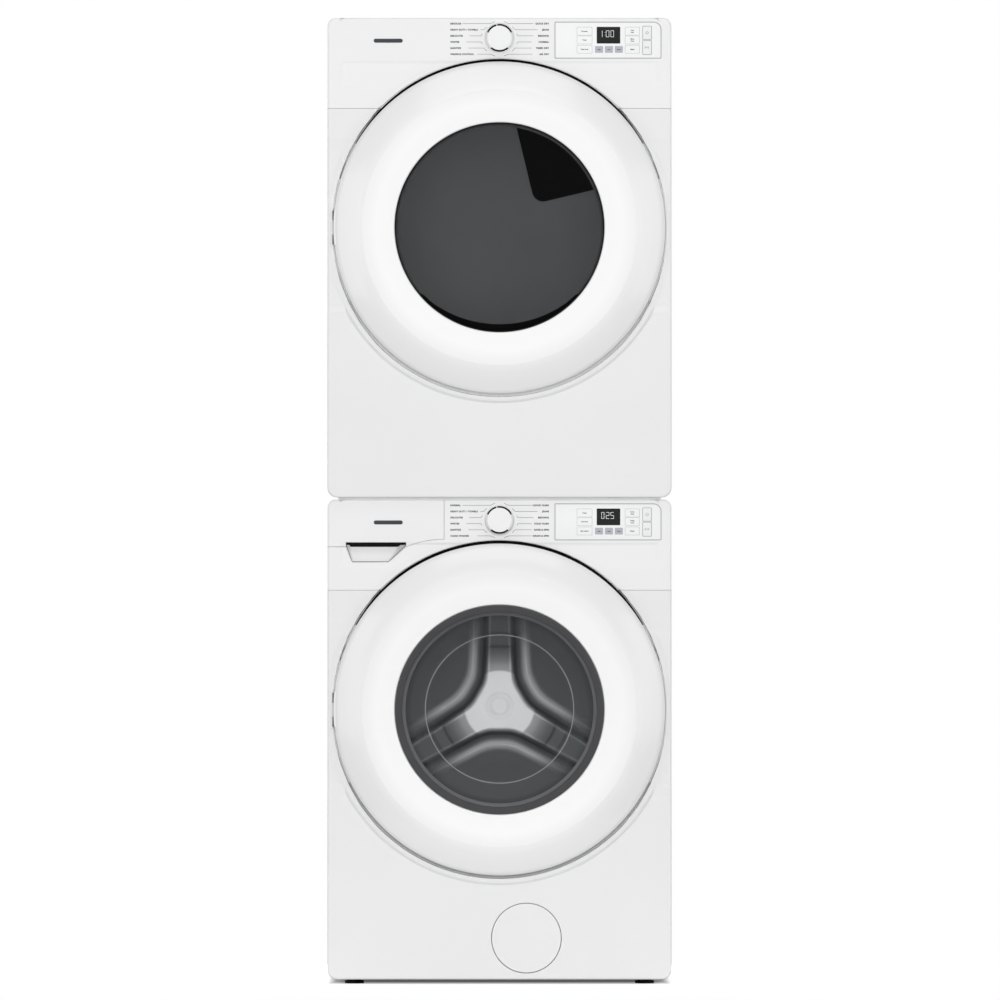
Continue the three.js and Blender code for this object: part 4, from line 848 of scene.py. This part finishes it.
clear, clear_shader = finish("clear pressed glass", "#A9B0B4", 0.04, Alpha=0.1)
tinted, tinted_shader = finish("dark tinted pane", "#0C0C0D", 0.05, Alpha=0.5, Specular_IOR_Level=0.35)
for material, shader, low, high in ((clear, clear_shader, 0.02, 0.16), (tinted, tinted_shader, 0.44, 0.6)):
    facing = add(material, "ShaderNodeLayerWeight", {"Blend": 0.35})
    spread = add(material, "ShaderNodeMapRange", {"Value": facing.outputs["Facing"], "To Min": low, "To Max": high})
    material.node_tree.links.new(spread.outputs["Result"], shader.inputs["Alpha"])
rough_drift(clear, clear_shader, 0.03, 0.05, 60)
rough_drift(tinted, tinted_shader, 0.04, 0.06, 60)
trim_grey, trim_shader = finish("dark grey window trim", "#4A4A4C", 0.4)
mottle(trim_grey, trim_shader, "#464648", "#4E4E50", 60)
grain(trim_grey, trim_shader, 0.6, 0.01)
trim_black, trim_black_shader = finish("black window edge", "#131314", 0.3)
mottle(trim_black, trim_black_shader, "#111112", "#171718", 40)

z = door_centre("washer")
bowl = fillet([(0.05, -256.0), (120, -258.6), (147.8, -270), (152.5, -292), (178, -373.6), (206, -374.4), (206, -378.4),
               (174, -378.4), (148.8, -293), (145.2, -273), (118, -261.9), (0.05, -259.2)],
              (16, 5, 30, 4, 1, 1, 6, 30, 5, 16), 9)
piece("washer_door_bowl", [(turned(bowl, 0, z, 160), True, False, ("first", "last"))], "washer_door", clear,
      ["washer_door_glass"])
# A thin bead on the bowl's inner bend, in whiter and less clear glass than the bowl: a real bead, whose whiteness is a
# painted highlight for the bright line along the bend.
bead_turn = np.linspace(0, 2 * np.pi, 9)[:-1]
bead = np.stack([148.2 + 0.45 * np.cos(bead_turn), -294 - 0.45 * np.sin(bead_turn)], -1)
bowl_bead_highlight, bowl_bead_highlight_shader = finish("pressed glass bead with painted highlight", "#E6EAEC", 0.1, Alpha=0.6)
mottle(bowl_bead_highlight, bowl_bead_highlight_shader, "#E0E4E6", "#ECEFF0", 30)
piece("washer_bowl_bead", [(turned(bead, 0, z, 160), True, True, ())], "washer_door", bowl_bead_highlight)
trim = fillet([(207.8, -373), (208.3, -380.2), (206, -381.2), (195.5, -379.6), (193.6, -377.4), (193.6, -374)],
              (0.6, 0.8, 1.5, 0.8), 6)
piece("washer_window_trim", [(turned(trim, 0, z, 192), True, False, ())], "washer_door", trim_grey,
      crease=50)

z = door_centre("dryer")
pane = fillet([(0.05, -372.6), (206.5, -372.6), (206.5, -377.4), (0.05, -379.0)], (0.5, 2.5), 5)
piece("dryer_door_pane", [(turned(pane, 0, z, 160), True, False, ("first", "last"))], "dryer_door", tinted,
      ["dryer_door_glass"])
trim = fillet([(208.4, -373), (208.6, -380.4), (206.6, -380.4), (206.4, -373)], (0.5, 0.5), 4)
piece("dryer_window_edge", [(turned(trim, 0, z, 192), True, False, ())], "dryer_door", trim_black)


# ---- Door seal -----------------------------------------------------------------------------------
# A folded grey rubber bellows joins the washer's panel to the tub. It is moulded in one piece, with a
# rounded front lip, one deep fold and a fine matt surface.

rubber, rubber_shader = finish("moulded grey rubber", "#6B6C6E", 0.6, Sheen_Weight=0.15)
mottle(rubber, rubber_shader, "#646567", "#727375", 50)
grain(rubber, rubber_shader, 0.7, 0.03)
z = door_centre("washer")
seal = fillet([(213, -341), (197, -339.5), (208, -331), (200.5, -319.5), (217, -307), (228, -291), (222, -291),
               (212, -304), (193, -320), (201, -330), (186, -340.5), (194, -346.5), (211, -346.5)],
              (4, 5, 5, 6, 0.5, 0.5, 6, 5, 5, 4, 3), 7)
piece("washer_door_seal", [(turned(seal[::-1], 0, z, 160), True, True, ())], "stack", rubber,
      ["washer_gasket"])


# ---- Washer drum ---------------------------------------------------------------------------------
# A polished stainless drum. Its rear wall is one pressing with a three-armed star and shaped hollows
# between the arms, its sides are perforated, and three folded lifters run along it in line with the arms.

steel, steel_shader = finish("polished stainless sheet", "#C9CBCD", 0.24, 1.0)
mottle(steel, steel_shader, "#C2C4C7", "#CFD1D2", 90)
rough_drift(steel, steel_shader, 0.2, 0.3, 40)
grain(steel, steel_shader, 0.5, 0.004, stretch=(1, 0.08, 1))
ARMS = np.radians([90, 210, 330])
DRUM_R, DRUM_FRONT, DRUM_REAR = 269.0, -271.0, 161.0


def holes(material, shader, pitch_mm, hole_mm, radius_mm, centre_z, depth=0.6):
    """Round perforations on a drum's wall, from (angle x radius, Y): every other row moved half a pitch, with
    the distance from the nearest centre compared to the hole's radius."""
    place = add(material, "ShaderNodeSeparateXYZ", {"Vector": add(material, "ShaderNodeTexCoord").outputs["Object"]})
    height = add(material, "ShaderNodeMath", {0: place.outputs["Z"], 1: centre_z}, operation="SUBTRACT")
    angle = add(material, "ShaderNodeMath", {0: height.outputs[0], 1: place.outputs["X"]}, operation="ARCTAN2")
    around = add(material, "ShaderNodeMath", {0: angle.outputs[0], 1: radius_mm / pitch_mm}, operation="MULTIPLY")
    along = add(material, "ShaderNodeMath", {0: place.outputs["Y"], 1: 1000 / pitch_mm / 0.866}, operation="MULTIPLY")
    row = add(material, "ShaderNodeMath", {0: along.outputs[0]}, operation="FLOOR")
    half = add(material, "ShaderNodeMath", {0: row.outputs[0], 1: 0.5}, operation="MULTIPLY")
    moved = add(material, "ShaderNodeMath", {0: around.outputs[0], 1: half.outputs[0]}, operation="ADD")
    u = add(material, "ShaderNodeMath", {0: moved.outputs[0], 1: 1.0, 2: 0.0}, operation="WRAP")
    v = add(material, "ShaderNodeMath", {0: along.outputs[0], 1: 1.0, 2: 0.0}, operation="WRAP")
    du = add(material, "ShaderNodeMath", {0: u.outputs[0], 1: 0.5}, operation="SUBTRACT")
    dv = add(material, "ShaderNodeMath", {0: v.outputs[0], 1: 0.5}, operation="SUBTRACT")
    flat = add(material, "ShaderNodeCombineXYZ", {"X": du.outputs[0], "Y": dv.outputs[0]})
    away = add(material, "ShaderNodeVectorMath", {0: flat.outputs[0]}, operation="LENGTH")
    edge = hole_mm / 2 / pitch_mm
    solid = add(material, "ShaderNodeMapRange", {"Value": away.outputs["Value"], "From Min": edge * 0.85,
                                                "From Max": edge * 1.1})
    colour = shader.inputs["Base Color"].links[0].from_socket
    dark = add(material, "ShaderNodeMix", {"Factor": solid.outputs["Result"]}, data_type="RGBA")
    dark.inputs["A"].default_value = (0.006, 0.006, 0.007, 1)
    material.node_tree.links.new(colour, dark.inputs["B"])
    material.node_tree.links.new(dark.outputs["Result"], shader.inputs["Base Color"])


perforated, perforated_shader = finish("perforated stainless sheet", "#C9CBCD", 0.26, 1.0)
mottle(perforated, perforated_shader, "#C2C4C7", "#CFD1D2", 90)


def star_distance(r, angle):
    """Signed distance to the nearest arm or to the hub, softly joined: minus inside the star."""
    turn = (angle[..., None] - ARMS + np.pi) % (2 * np.pi) - np.pi
    along = r[..., None] * np.cos(turn)
    across = np.abs(r[..., None] * np.sin(turn)) - (30 - 8 * np.clip(r[..., None] / 260, 0, 1))
    across = np.where(along > 0, across, r[..., None])
    parts = np.concatenate([across, (r - 46)[..., None]], -1)
    return -np.log(np.exp(-parts / 9).sum(-1)) * 9


def star_depth(r, angle):
    """Y of the drum's rear wall. The star stands out over an eased 14 mm edge and leans back towards the rim
    in two low steps, and a low band follows it in the hollows at s = 27 mm."""
    s = star_distance(r, angle)
    lift = ease(-s, -8, 6)
    step = 5 * ease(r, 118, 124) + 4 * ease(r, 144, 150)
    star = 131 + 10 * r / 260 + step
    floor = DRUM_REAR - 7 * np.exp(-((s - 27) / 7) ** 2) * ease(-r, -236, -200) - 3 * ease(s, 40, 60)
    dish = 3.0 * ease(-r, -30, -22) - 2.2 * ease(-r, -20, -16)
    return floor + (star + dish - floor) * lift


def shaded(name, colours, positions, roughness, metallic):
    """Steel whose colour follows the mesh attribute "depth" through a ramp of (position, colour); the attribute holds
    painted light and shade, not a depth.
    """
    material, shader = finish(name, colours[0], roughness, metallic)
    depth = add(material, "ShaderNodeAttribute", attribute_name="depth")
    ramp = add(material, "ShaderNodeValToRGB", {"Fac": depth.outputs["Fac"]})
    ramp.color_ramp.elements[0].position, ramp.color_ramp.elements[1].position = positions[0], positions[-1]
    ramp.color_ramp.elements[0].color, ramp.color_ramp.elements[1].color = linear(colours[0]), linear(colours[-1])
    for colour, position in zip(colours[1:-1], positions[1:-1]):
        ramp.color_ramp.elements.new(position).color = linear(colour)
    material.node_tree.links.new(ramp.outputs["Color"], shader.inputs["Base Color"])
    return material, shader


# A ramp from near black to light grey carries the painted light and shade of the drum's rear wall.
star_painted_steel, star_shader = shaded("satin stainless star with painted light and shade", ["#121213", "#3C3D3E", "#6A6C6F", "#A2A4A5", "#C6C7C8"],
                                 (0.0, 0.25, 0.5, 0.75, 1.0), 0.34, 0.0)
rough_drift(star_painted_steel, star_shader, 0.3, 0.4, 40)
z = door_centre("washer")
radius = np.concatenate([np.arange(0.4, 40, 2.5), np.arange(40, 266, 2.0), [DRUM_R - 1.4]])
turn = np.arange(720) * 2 * np.pi / 720
r, angle = np.meshgrid(radius, turn)
wall = np.stack([r * np.cos(angle), star_depth(r, angle), z + r * np.sin(angle)], -1)[:, ::-1]
back = wall.copy()[:, :1]
shell = fillet([(DRUM_R - 2.2, DRUM_REAR - 4), (DRUM_R - 2.2, DRUM_FRONT + 14), (256, DRUM_FRONT + 3.2), (226, DRUM_FRONT + 3),
                (226, DRUM_FRONT), (258, DRUM_FRONT), (DRUM_R, DRUM_FRONT + 12), (DRUM_R, DRUM_REAR + 3),
                (0.05, DRUM_REAR + 3)], (0, 6, 4, 1, 1, 8, 8, 2), 6)
star = piece("washer_drum_rear_star", [(wall, True, False, ("last",))], "washer_drum", star_painted_steel,
             crease=60)
place = np.empty(len(star.data.vertices) * 3, np.float32)
star.data.vertices.foreach_get("co", place)
place = place.reshape(-1, 3) * 1000 - (0, 0, z)
r, angle = np.hypot(place[:, 0], place[:, 2]), np.arctan2(place[:, 2], place[:, 0])
# The rear wall's colour is painted light and shade: a painted lit hub, arms painted darker towards the rim, painted
# highlights just inside the arms' edges, soft painted reflection bands in the hollows, and painted shade in the hollows
# beside the arms.
s = star_distance(r, angle)
on_star = ease(-s, -6, 4)
band = np.exp(-((s - 27) / 10) ** 4) * ease(-r, -215, -110)
arm_painted_light = 0.31 + 0.3 * ease(-r, -118, -74) + 0.44 * ease(-r, -74, -68) + 0.2 * np.exp(-((s + 5) / 2.5) ** 2) * ease(r, 60, 80)
tone = on_star * arm_painted_light + (1 - on_star) * (0.27 + 0.42 * band - 0.17 * np.exp(-((s - 6) / 6) ** 2))
star.data.attributes.new("depth", "FLOAT", "POINT").data.foreach_set("value", tone.astype(np.float32))
piece("washer_drum_shell", [(turned(shell[::-1], 0, z, 256)[:, ::-1], True, False, ("last",))], "washer_drum",
      perforated, ["washer_drum"])
holes(perforated, perforated_shader, 9.0, 3.2, DRUM_R, z / 1000)


def lifter(arm, z, root, tall, base, tip, y0, y1, name, body, material, slot):
    """A folded lifter on a drum's wall. Its section narrows as base + (tip - base) t up its height and closes
    in a half round; its ends slope down over 26 mm."""
    t = np.linspace(0, 1, 9)
    flank = np.stack([base + (tip - base) * t, (tall - tip) * t], -1)
    top = np.linspace(0, np.pi, 13)[1:-1]
    section = np.vstack([flank, np.stack([tip * np.cos(top), tall - tip + tip * np.sin(top)], -1),
                         flank[::-1] * (-1, 1)])
    y = np.concatenate([[0, 3, 8, 16, 26], np.linspace(40, y1 - y0 - 40, 12), y1 - y0 - np.array([26, 16, 8, 3, 0])])
    rise = np.sqrt(np.clip(1 - (1 - np.minimum(np.minimum(y, y1 - y0 - y), 26) / 26) ** 2, 0.02, 1))
    side = section[:, None, 0] * (0.6 + 0.4 * rise[None, :])
    up = root - section[:, None, 1] * rise[None, :]
    x = up * math.cos(arm) - side * math.sin(arm)
    h = up * math.sin(arm) + side * math.cos(arm)
    grid = np.stack([x, np.broadcast_to(y0 + y, x.shape), z + h], -1)
    return grid


patches = [(lifter(arm, z, DRUM_R - 2.5, 57, 25, 14, -238, 150, "", "", None, ""), True, False, ("first", "last"))
           for arm in ARMS]
piece("washer_drum_lifters", patches, "washer_drum", perforated, crease=50)


# ---- Dryer drum and air grille ---------------------------------------------------------------------
# A painted steel drum turns between two fixed end walls. The rear wall carries a black perforated air
# grille at its upper right, and a flat black crescent just behind the door's pane, along the bottom of the
# window, is painted shadow.

drum_grey, drum_shader = finish("baked grey drum enamel", "#C9CACC", 0.4)
mottle(drum_grey, drum_shader, "#C2C3C6", "#D0D1D2", 120)
grain(drum_grey, drum_shader, 2.0, 0.01)
black_moulding, black_shader = finish("black moulding", "#0E0E0F", 0.55)
mottle(black_moulding, black_shader, "#0B0B0C", "#131314", 40)
grain(black_moulding, black_shader, 0.8, 0.02)

z = door_centre("dryer")
drum_low, drum_high = mm("dryer_drum")
shell = fillet([(306.6, drum_high[1]), (306.6, drum_low[1]), (310, drum_low[1]), (310, drum_high[1])], (1, 1), 3)
beads = turned(fillet([(308.4, drum_high[1]), (308.4, drum_low[1]), (309.6, drum_low[1] - 0.01),
                       (309.8, drum_high[1])], (1, 1), 3)[::-1], 0, z, 200)
piece("dryer_drum_shell", [(beads, True, False, ())], "dryer_drum", drum_grey, ["dryer_drum"])
patches = [(lifter(arm, z, 308, 64, 29, 12, -244, 238, "", "", None, ""), True, False, ("first", "last")) for arm in ARMS]
piece("dryer_drum_lifters", patches, "dryer_drum", drum_grey, crease=50)

rear_low, rear_high = mm("dryer_rear_bulkhead")
face = rear_low[1] + 18
disc = fillet([(316, rear_low[1] + 0.5), (314.5, rear_low[1] + 0.5), (314.5, face), (296, face + 0.6), (288, face - 3.5),
               (276, face - 3.5), (268, face), (0.05, face)], (0.5, 3, 4, 4, 4, 4), 6)
piece("dryer_rear_wall", [(turned(disc, 0, z, 200), True, False, ("last",))], "stack", drum_grey,
      ["dryer_rear_bulkhead"])

TILT = math.radians(13.5)


def tilted(patch, z):
    """A patch drawn from (0, 0) along its own axes, turned by the grille's tilt and moved to its corner."""
    grid, wrap_u, wrap_v, caps = patch
    x, h = grid[..., 0].copy(), grid[..., 2].copy()
    grid = grid.copy()
    grid[..., 0] = 72 + x * math.cos(TILT) - h * math.sin(TILT)
    grid[..., 2] = z + 60 + x * math.sin(TILT) + h * math.cos(TILT)
    return (grid, wrap_u, wrap_v, caps)


def cells(material, shader, pitch_mm):
    """Small round perforations over a flat grille, from X and Z, darker than the moulding between them."""
    place = add(material, "ShaderNodeTexCoord").outputs["Object"]
    dots = add(material, "ShaderNodeTexVoronoi", {"Vector": place, "Scale": 1000 / pitch_mm, "Randomness": 0.0})
    edge = add(material, "ShaderNodeMapRange", {"Value": dots.outputs["Distance"], "From Min": 0.25, "From Max": 0.35})
    colour = add(material, "ShaderNodeMix", {"Factor": edge.outputs["Result"]}, data_type="RGBA")
    colour.inputs["A"].default_value = linear("#030303")
    colour.inputs["B"].default_value = linear("#1B1B1C")
    material.node_tree.links.new(colour.outputs["Result"], shader.inputs["Base Color"])


grille_black, grille_shader = finish("black perforated grille", "#101011", 0.5)
cells(grille_black, grille_shader, 4.2)
plate = slab(0, 186, 0, 190, (60, 110, 14, 23), face - 3.4, face + 1, 2.2, steps=5)
piece("dryer_air_grille", [tilted(plate, z)], "stack", grille_black)

# A flat black crescent behind the pane, along the bottom of the window: painted shadow.
angle = np.linspace(math.radians(-142), math.radians(-38), 60)
inner_r = 230.0
reach = np.stack([np.cos(angle), np.sin(angle)], -1)
down = reach[:, 1] * 37
inner = down + np.sqrt(np.maximum(down ** 2 + inner_r ** 2 - 37 ** 2, 0))
outer = np.full(60, 207.6)
taper = ease(np.abs(angle + math.pi / 2), math.radians(47), math.radians(52))
inner = np.minimum(inner, 201.5)
inner = inner + (207.5 - inner) * taper
inner = np.minimum(inner, outer - 0.1)
ring = [(outer, -372.1), (outer, -372.5), (inner, -372.5), (inner, -372.1)]
shadow_crescent = np.stack([np.stack([r * reach[:, 0], np.full(60, y), z + r * reach[:, 1]], -1) for r, y in ring])
piece("dryer_window_painted_shadow", [(shadow_crescent, True, False, ("first", "last"))], "dryer_door", black_moulding)


# ---- Filter cover ----------------------------------------------------------------------------------
# A round white cap stands flush in the washer's lower panel over the drain filter. It is a shallow
# moulding with a soft edge.

cover_front = cover_low[1]
cover_r -= 0.35
cover = fillet([(cover_r - 3, -348), (cover_r, -349), (cover_r, cover_front), (cover_r - 4, cover_front - 0.02),
                (0.05, cover_front)], (0.4, 1.6, 0.5), 6)
cover = np.vstack([[(cover_r - 2.2, -354), (cover_r - 2.2, -348.2)], cover[1:]])
piece("washer_filter_cap_cover", [(turned(cover, cover_x, cover_z, 144), True, False, ("last",))],
      "washer_filter_cover", enamel, ["washer_filter_cover"])


# ---- Feet, hinges and working parts -----------------------------------------------------------------
# The levelling feet are rubber pads on zinc-plated stems. Inside are plain pressings in galvanised sheet,
# grey and black mouldings and rubber, which show when the doors, the drawer and the rear are looked into.

zinc, zinc_shader = finish("galvanised sheet", "#B4B7B9", 0.42, 0.85)
spangle_place = add(zinc, "ShaderNodeTexCoord").outputs["Object"]
spangle = add(zinc, "ShaderNodeTexVoronoi", {"Vector": spangle_place, "Scale": 1000 / 9.0})
spangle_mix = add(zinc, "ShaderNodeMix", {"Factor": spangle.outputs["Color"]}, data_type="RGBA")
spangle_mix.inputs["A"].default_value = linear("#A9ACAE")
spangle_mix.inputs["B"].default_value = linear("#C0C3C4")
zinc.node_tree.links.new(spangle_mix.outputs["Result"], zinc_shader.inputs["Base Color"])
rough_drift(zinc, zinc_shader, 0.36, 0.5, 14)
grey_moulding, grey_shader = finish("light grey moulding", "#B9BABD", 0.5)
mottle(grey_moulding, grey_shader, "#B3B4B7", "#BFC0C2", 80)
grain(grey_moulding, grey_shader, 1.0, 0.02)
dark_moulding, dark_shader = finish("dark grey moulding", "#3B3B3D", 0.5)
mottle(dark_moulding, dark_shader, "#363638", "#414143", 60)
grain(dark_moulding, dark_shader, 0.9, 0.02)
black_rubber, black_rubber_shader = finish("moulded black rubber", "#1A1A1B", 0.7)
mottle(black_rubber, black_rubber_shader, "#161617", "#202021", 40)
grain(black_rubber, black_rubber_shader, 0.8, 0.03)

BY_SLOT = {
    "white_enamel": enamel, "white_plastic": satin, "grey_plastic": grey_moulding, "dark_plastic": dark_moulding,
    "black_plastic": black_moulding, "clear_glass": clear, "smoked_glass": tinted, "grey_rubber": rubber,
    "black_rubber": black_rubber, "stainless": steel, "galvanised": zinc,
}
for part in frame["record"]["subparts"]:
    node = frame["nodes"][part["node"]]
    if not node.data.materials[0].name.startswith(("baked", "satin")):
        node.data.materials[0] = BY_SLOT[part["material_slot"]]


# ---- Stacking seal -------------------------------------------------------------------------------------
# A thin white foam sheet lies between the machines, set back from the fronts, and closes the gap there.

washer_top = cabinet_foot["washer"] + HEIGHT
foam, foam_shader = finish("white stacking foam", "#F1F1F1", 0.9)
mottle(foam, foam_shader, "#EDEDED", "#F4F4F4", 12)
piece("stacking_foam", [slab(-322, 322, washer_top + 0.05, cabinet_foot["dryer"] - 0.05, (1.2,) * 4, -334, 330, 0.6)], "stack",
      foam)

# Above the parting line the recess behind each door is closed by a white plate that belongs to the console.
# A black strip lies on it behind the curved gap over the door as painted shadow, so that the gap shows dark.
gap_shadow_black, gap_shadow_black_shader = finish("black painted shadow strip in door gap", "#0A0A0A", 0.95)
mottle(gap_shadow_black, gap_shadow_black_shader, "#080808", "#0E0E0E", 5)
for machine in MACHINES:
    strip_turn = np.linspace(math.radians(18), math.radians(162), 140)
    wide = ease(np.sin(strip_turn), math.sin(math.radians(18)), 0.95)
    outline = [(341.5, -329.5), (341.5, -331.0), (320, -331.0), (320, -329.5)]
    reach = [332.2 + 4.6 * wide if radius > 330 else np.full(140, float(radius)) for radius, y in outline]
    grid = np.stack([np.stack([r * np.cos(strip_turn), np.full(140, y), door_centre(machine) + r * np.sin(strip_turn)], -1)
                     for r, (radius, y) in zip(reach, outline)])
    # Painted shadow: a black strip in the gap over the door.
    piece(f"{machine}_gap_painted_shadow", [(grid, True, False, ("first", "last"))], "stack", gap_shadow_black)
    plate_turn = np.linspace(math.radians(43.5), math.radians(136.5), 120)
    outline = [(342, -327.5), (342, -329.4), (214, -337.0), (214, -327.5)]
    grid = np.stack([np.stack([r * np.cos(plate_turn), np.full(120, y), door_centre(machine) + r * np.sin(plate_turn)], -1)
                     for r, y in outline])
    floor_z = cabinet_foot[machine] + parting + 0.3
    grid[..., 2] = np.maximum(grid[..., 2], floor_z)
    piece(f"{machine}_recess_plate", [(grid, True, False, ("first", "last"))], "stack", satin)
    for side, first, last in (("right", -26, 17), ("left", 163, 206)):
        sweep = np.radians(np.linspace(first, last, 60))
        outline = [(333.3, -343.5), (333.3, -352.0), (331.8, -352.0), (331.8, -343.5)]
        grid = np.stack([np.stack([r * np.cos(sweep), np.full(60, y), door_centre(machine) + r * np.sin(sweep)], -1)
                         for r, y in outline])
        piece(f"{machine}_{side}_gap_bumper", [(grid, True, False, ("first", "last"))], "stack", satin)
    z = door_centre(machine)
    piece(f"{machine}_hinge_backing", [slab(-337.5, -331.5, z - 38, z + 38, (0.5,) * 4, -353.8, -346, 0.3)], "stack", satin)


# ---- Floor, light and camera -------------------------------------------------------------------------
# A white floor that glows for the camera as painted light, faint under the machine and full round it, so that
# the shadow line under the front edge is partly painted; two tall soft boxes at the sides, a weaker one in
# front and above, and white air all round. The reflections see a darker room behind the camera, as in a
# real studio.

low, high = np.array(cad_box)
floor_turn = np.linspace(0, 2 * np.pi, 97)[:-1]
floor_mesh = bpy.data.meshes.new("floor")
floor_mesh.from_pydata([(0.95 * math.cos(a), 0.95 * math.sin(a), 0.0) for a in floor_turn], [], [tuple(range(96))])
floor = bpy.data.objects.new("floor", floor_mesh)
bpy.context.scene.collection.objects.link(floor)
paper, paper_shader = finish("white studio floor", "#DCDCDC", 0.9, Specular_IOR_Level=0.1)
mottle(paper, paper_shader, "#DADADA", "#DEDEDE", 400)
# The glow is painted light for camera rays only: full beside, before and behind the machine, and fading from its front
# edge to faint under it, which paints a soft shadow line there.
paper_shader.inputs["Emission Color"].default_value = (1, 1, 1, 1)
place = add(paper, "ShaderNodeSeparateXYZ", {0: add(paper, "ShaderNodeTexCoord").outputs["Object"]})
across = add(paper, "ShaderNodeMath", {0: place.outputs["X"]}, operation="ABSOLUTE")
edges = [add(paper, "ShaderNodeMapRange", {0: distance, 1: start, 2: end, 3: 0.0, 4: 0.7}).outputs[0]
         for distance, start, end in ((across.outputs[0], 0.325, 0.345), (place.outputs["Y"], 0.33, 0.36))]
edges.append(add(paper, "ShaderNodeMapRange", {0: place.outputs["Y"], 1: -0.33, 2: -0.2, 3: 0.7, 4: 0.1}).outputs[0])
open_floor = add(paper, "ShaderNodeMath", {0: edges[0], 1: edges[1]}, operation="MAXIMUM")
clear_of = add(paper, "ShaderNodeMath", {0: open_floor.outputs[0], 1: edges[2]}, operation="MAXIMUM")
seen_floor = add(paper, "ShaderNodeLightPath").outputs["Is Camera Ray"]
glow = add(paper, "ShaderNodeMath", {0: seen_floor, 1: clear_of.outputs[0]}, operation="MULTIPLY")
paper.node_tree.links.new(glow.outputs[0], paper_shader.inputs["Emission Strength"])
floor_mesh.materials.append(paper)


def soft_box(name, place, aim, width, height, watts):
    """A rectangular area light at place, turned to face aim."""
    data = bpy.data.lights.new(name, "AREA")
    data.shape = "RECTANGLE"
    data.size, data.size_y = width, height
    data.energy = watts
    made = bpy.data.objects.new(name, data)
    made.location = place
    away = np.array(place) - np.array(aim)
    made.rotation_euler = Vector(away).to_track_quat("Z", "Y").to_euler()
    bpy.context.scene.collection.objects.link(made)
    return made


soft_box("left soft box", (-3.4, -3.2, 1.4), (0, 0, 1.0), 1.4, 3.2, 16)
soft_box("right soft box", (3.4, -3.2, 1.4), (0, 0, 1.0), 1.4, 3.2, 16)
soft_box("overhead soft box", (0, -2.6, 4.2), (0, 0, 1.0), 3.0, 1.4, 15)
front = soft_box("front soft box", (0, -7.0, 1.5), (0, 0, 1.0), 2.0, 2.0, 250)
front.visible_glossy = False
for side in (-1, 1):
    soft_box("rear soft box", (side * 3.6, 1.6, 2.2), (0, 0.3, 1.0), 2.0, 3.0, 70).visible_glossy = False
soft_box("top soft box", (0, 0.9, 4.4), (0, 0.1, 1.9), 2.4, 1.6, 30).visible_glossy = False

for machine, place, watts in (("washer", -0.24, 0.8), ("dryer", -0.365, 0.55)):
    z = door_centre(machine) / 1000
    lamp = soft_box(f"{machine} drum light", (0, place, z), (0, 0.2, z), 0.36 if machine == "dryer" else 0.2, 0.36 if machine == "dryer" else 0.2, watts)
    lamp.data.shape = "SQUARE" if machine == "washer" else "DISK"
    lamp.visible_glossy = lamp.visible_camera = lamp.visible_transmission = False

ROOM_LIGHT, ROOM_BEHIND = 0.3, 0.05
world = bpy.data.worlds.new("studio air")
world.use_nodes = True
bpy.context.scene.world = world
air = world.node_tree.nodes["Background"]
seen = world.node_tree.nodes.new("ShaderNodeLightPath")
strength = world.node_tree.nodes.new("ShaderNodeMath")
strength.operation = "MULTIPLY_ADD"
strength.inputs[1].default_value = ROOM_BEHIND - ROOM_LIGHT
strength.inputs[2].default_value = ROOM_LIGHT
world.node_tree.links.new(seen.outputs["Is Glossy Ray"], strength.inputs[0])
open_air = world.node_tree.nodes.new("ShaderNodeMath")
open_air.operation = "MAXIMUM"
world.node_tree.links.new(strength.outputs[0], open_air.inputs[0])
world.node_tree.links.new(seen.outputs["Is Camera Ray"], open_air.inputs[1])
world.node_tree.links.new(open_air.outputs[0], air.inputs["Strength"])
air.inputs["Color"].default_value = (1, 1, 1, 1)

LENS = 0.5
SENSOR = 0.036
FRAME_WIDE = 1.9942
camera_data = bpy.data.cameras.new("camera")
camera_data.lens = LENS * 1000
camera_data.sensor_width = SENSOR * 1000
camera_data.clip_end = 100
camera = bpy.data.objects.new("camera", camera_data)
camera.location = (0.001, -0.35 - FRAME_WIDE * LENS / SENSOR, 0.9662)
camera.rotation_euler = (math.pi / 2, 0, 0)
bpy.context.scene.collection.objects.link(camera)
bpy.context.scene.camera = camera
bpy.context.scene.view_settings.view_transform = "Standard"
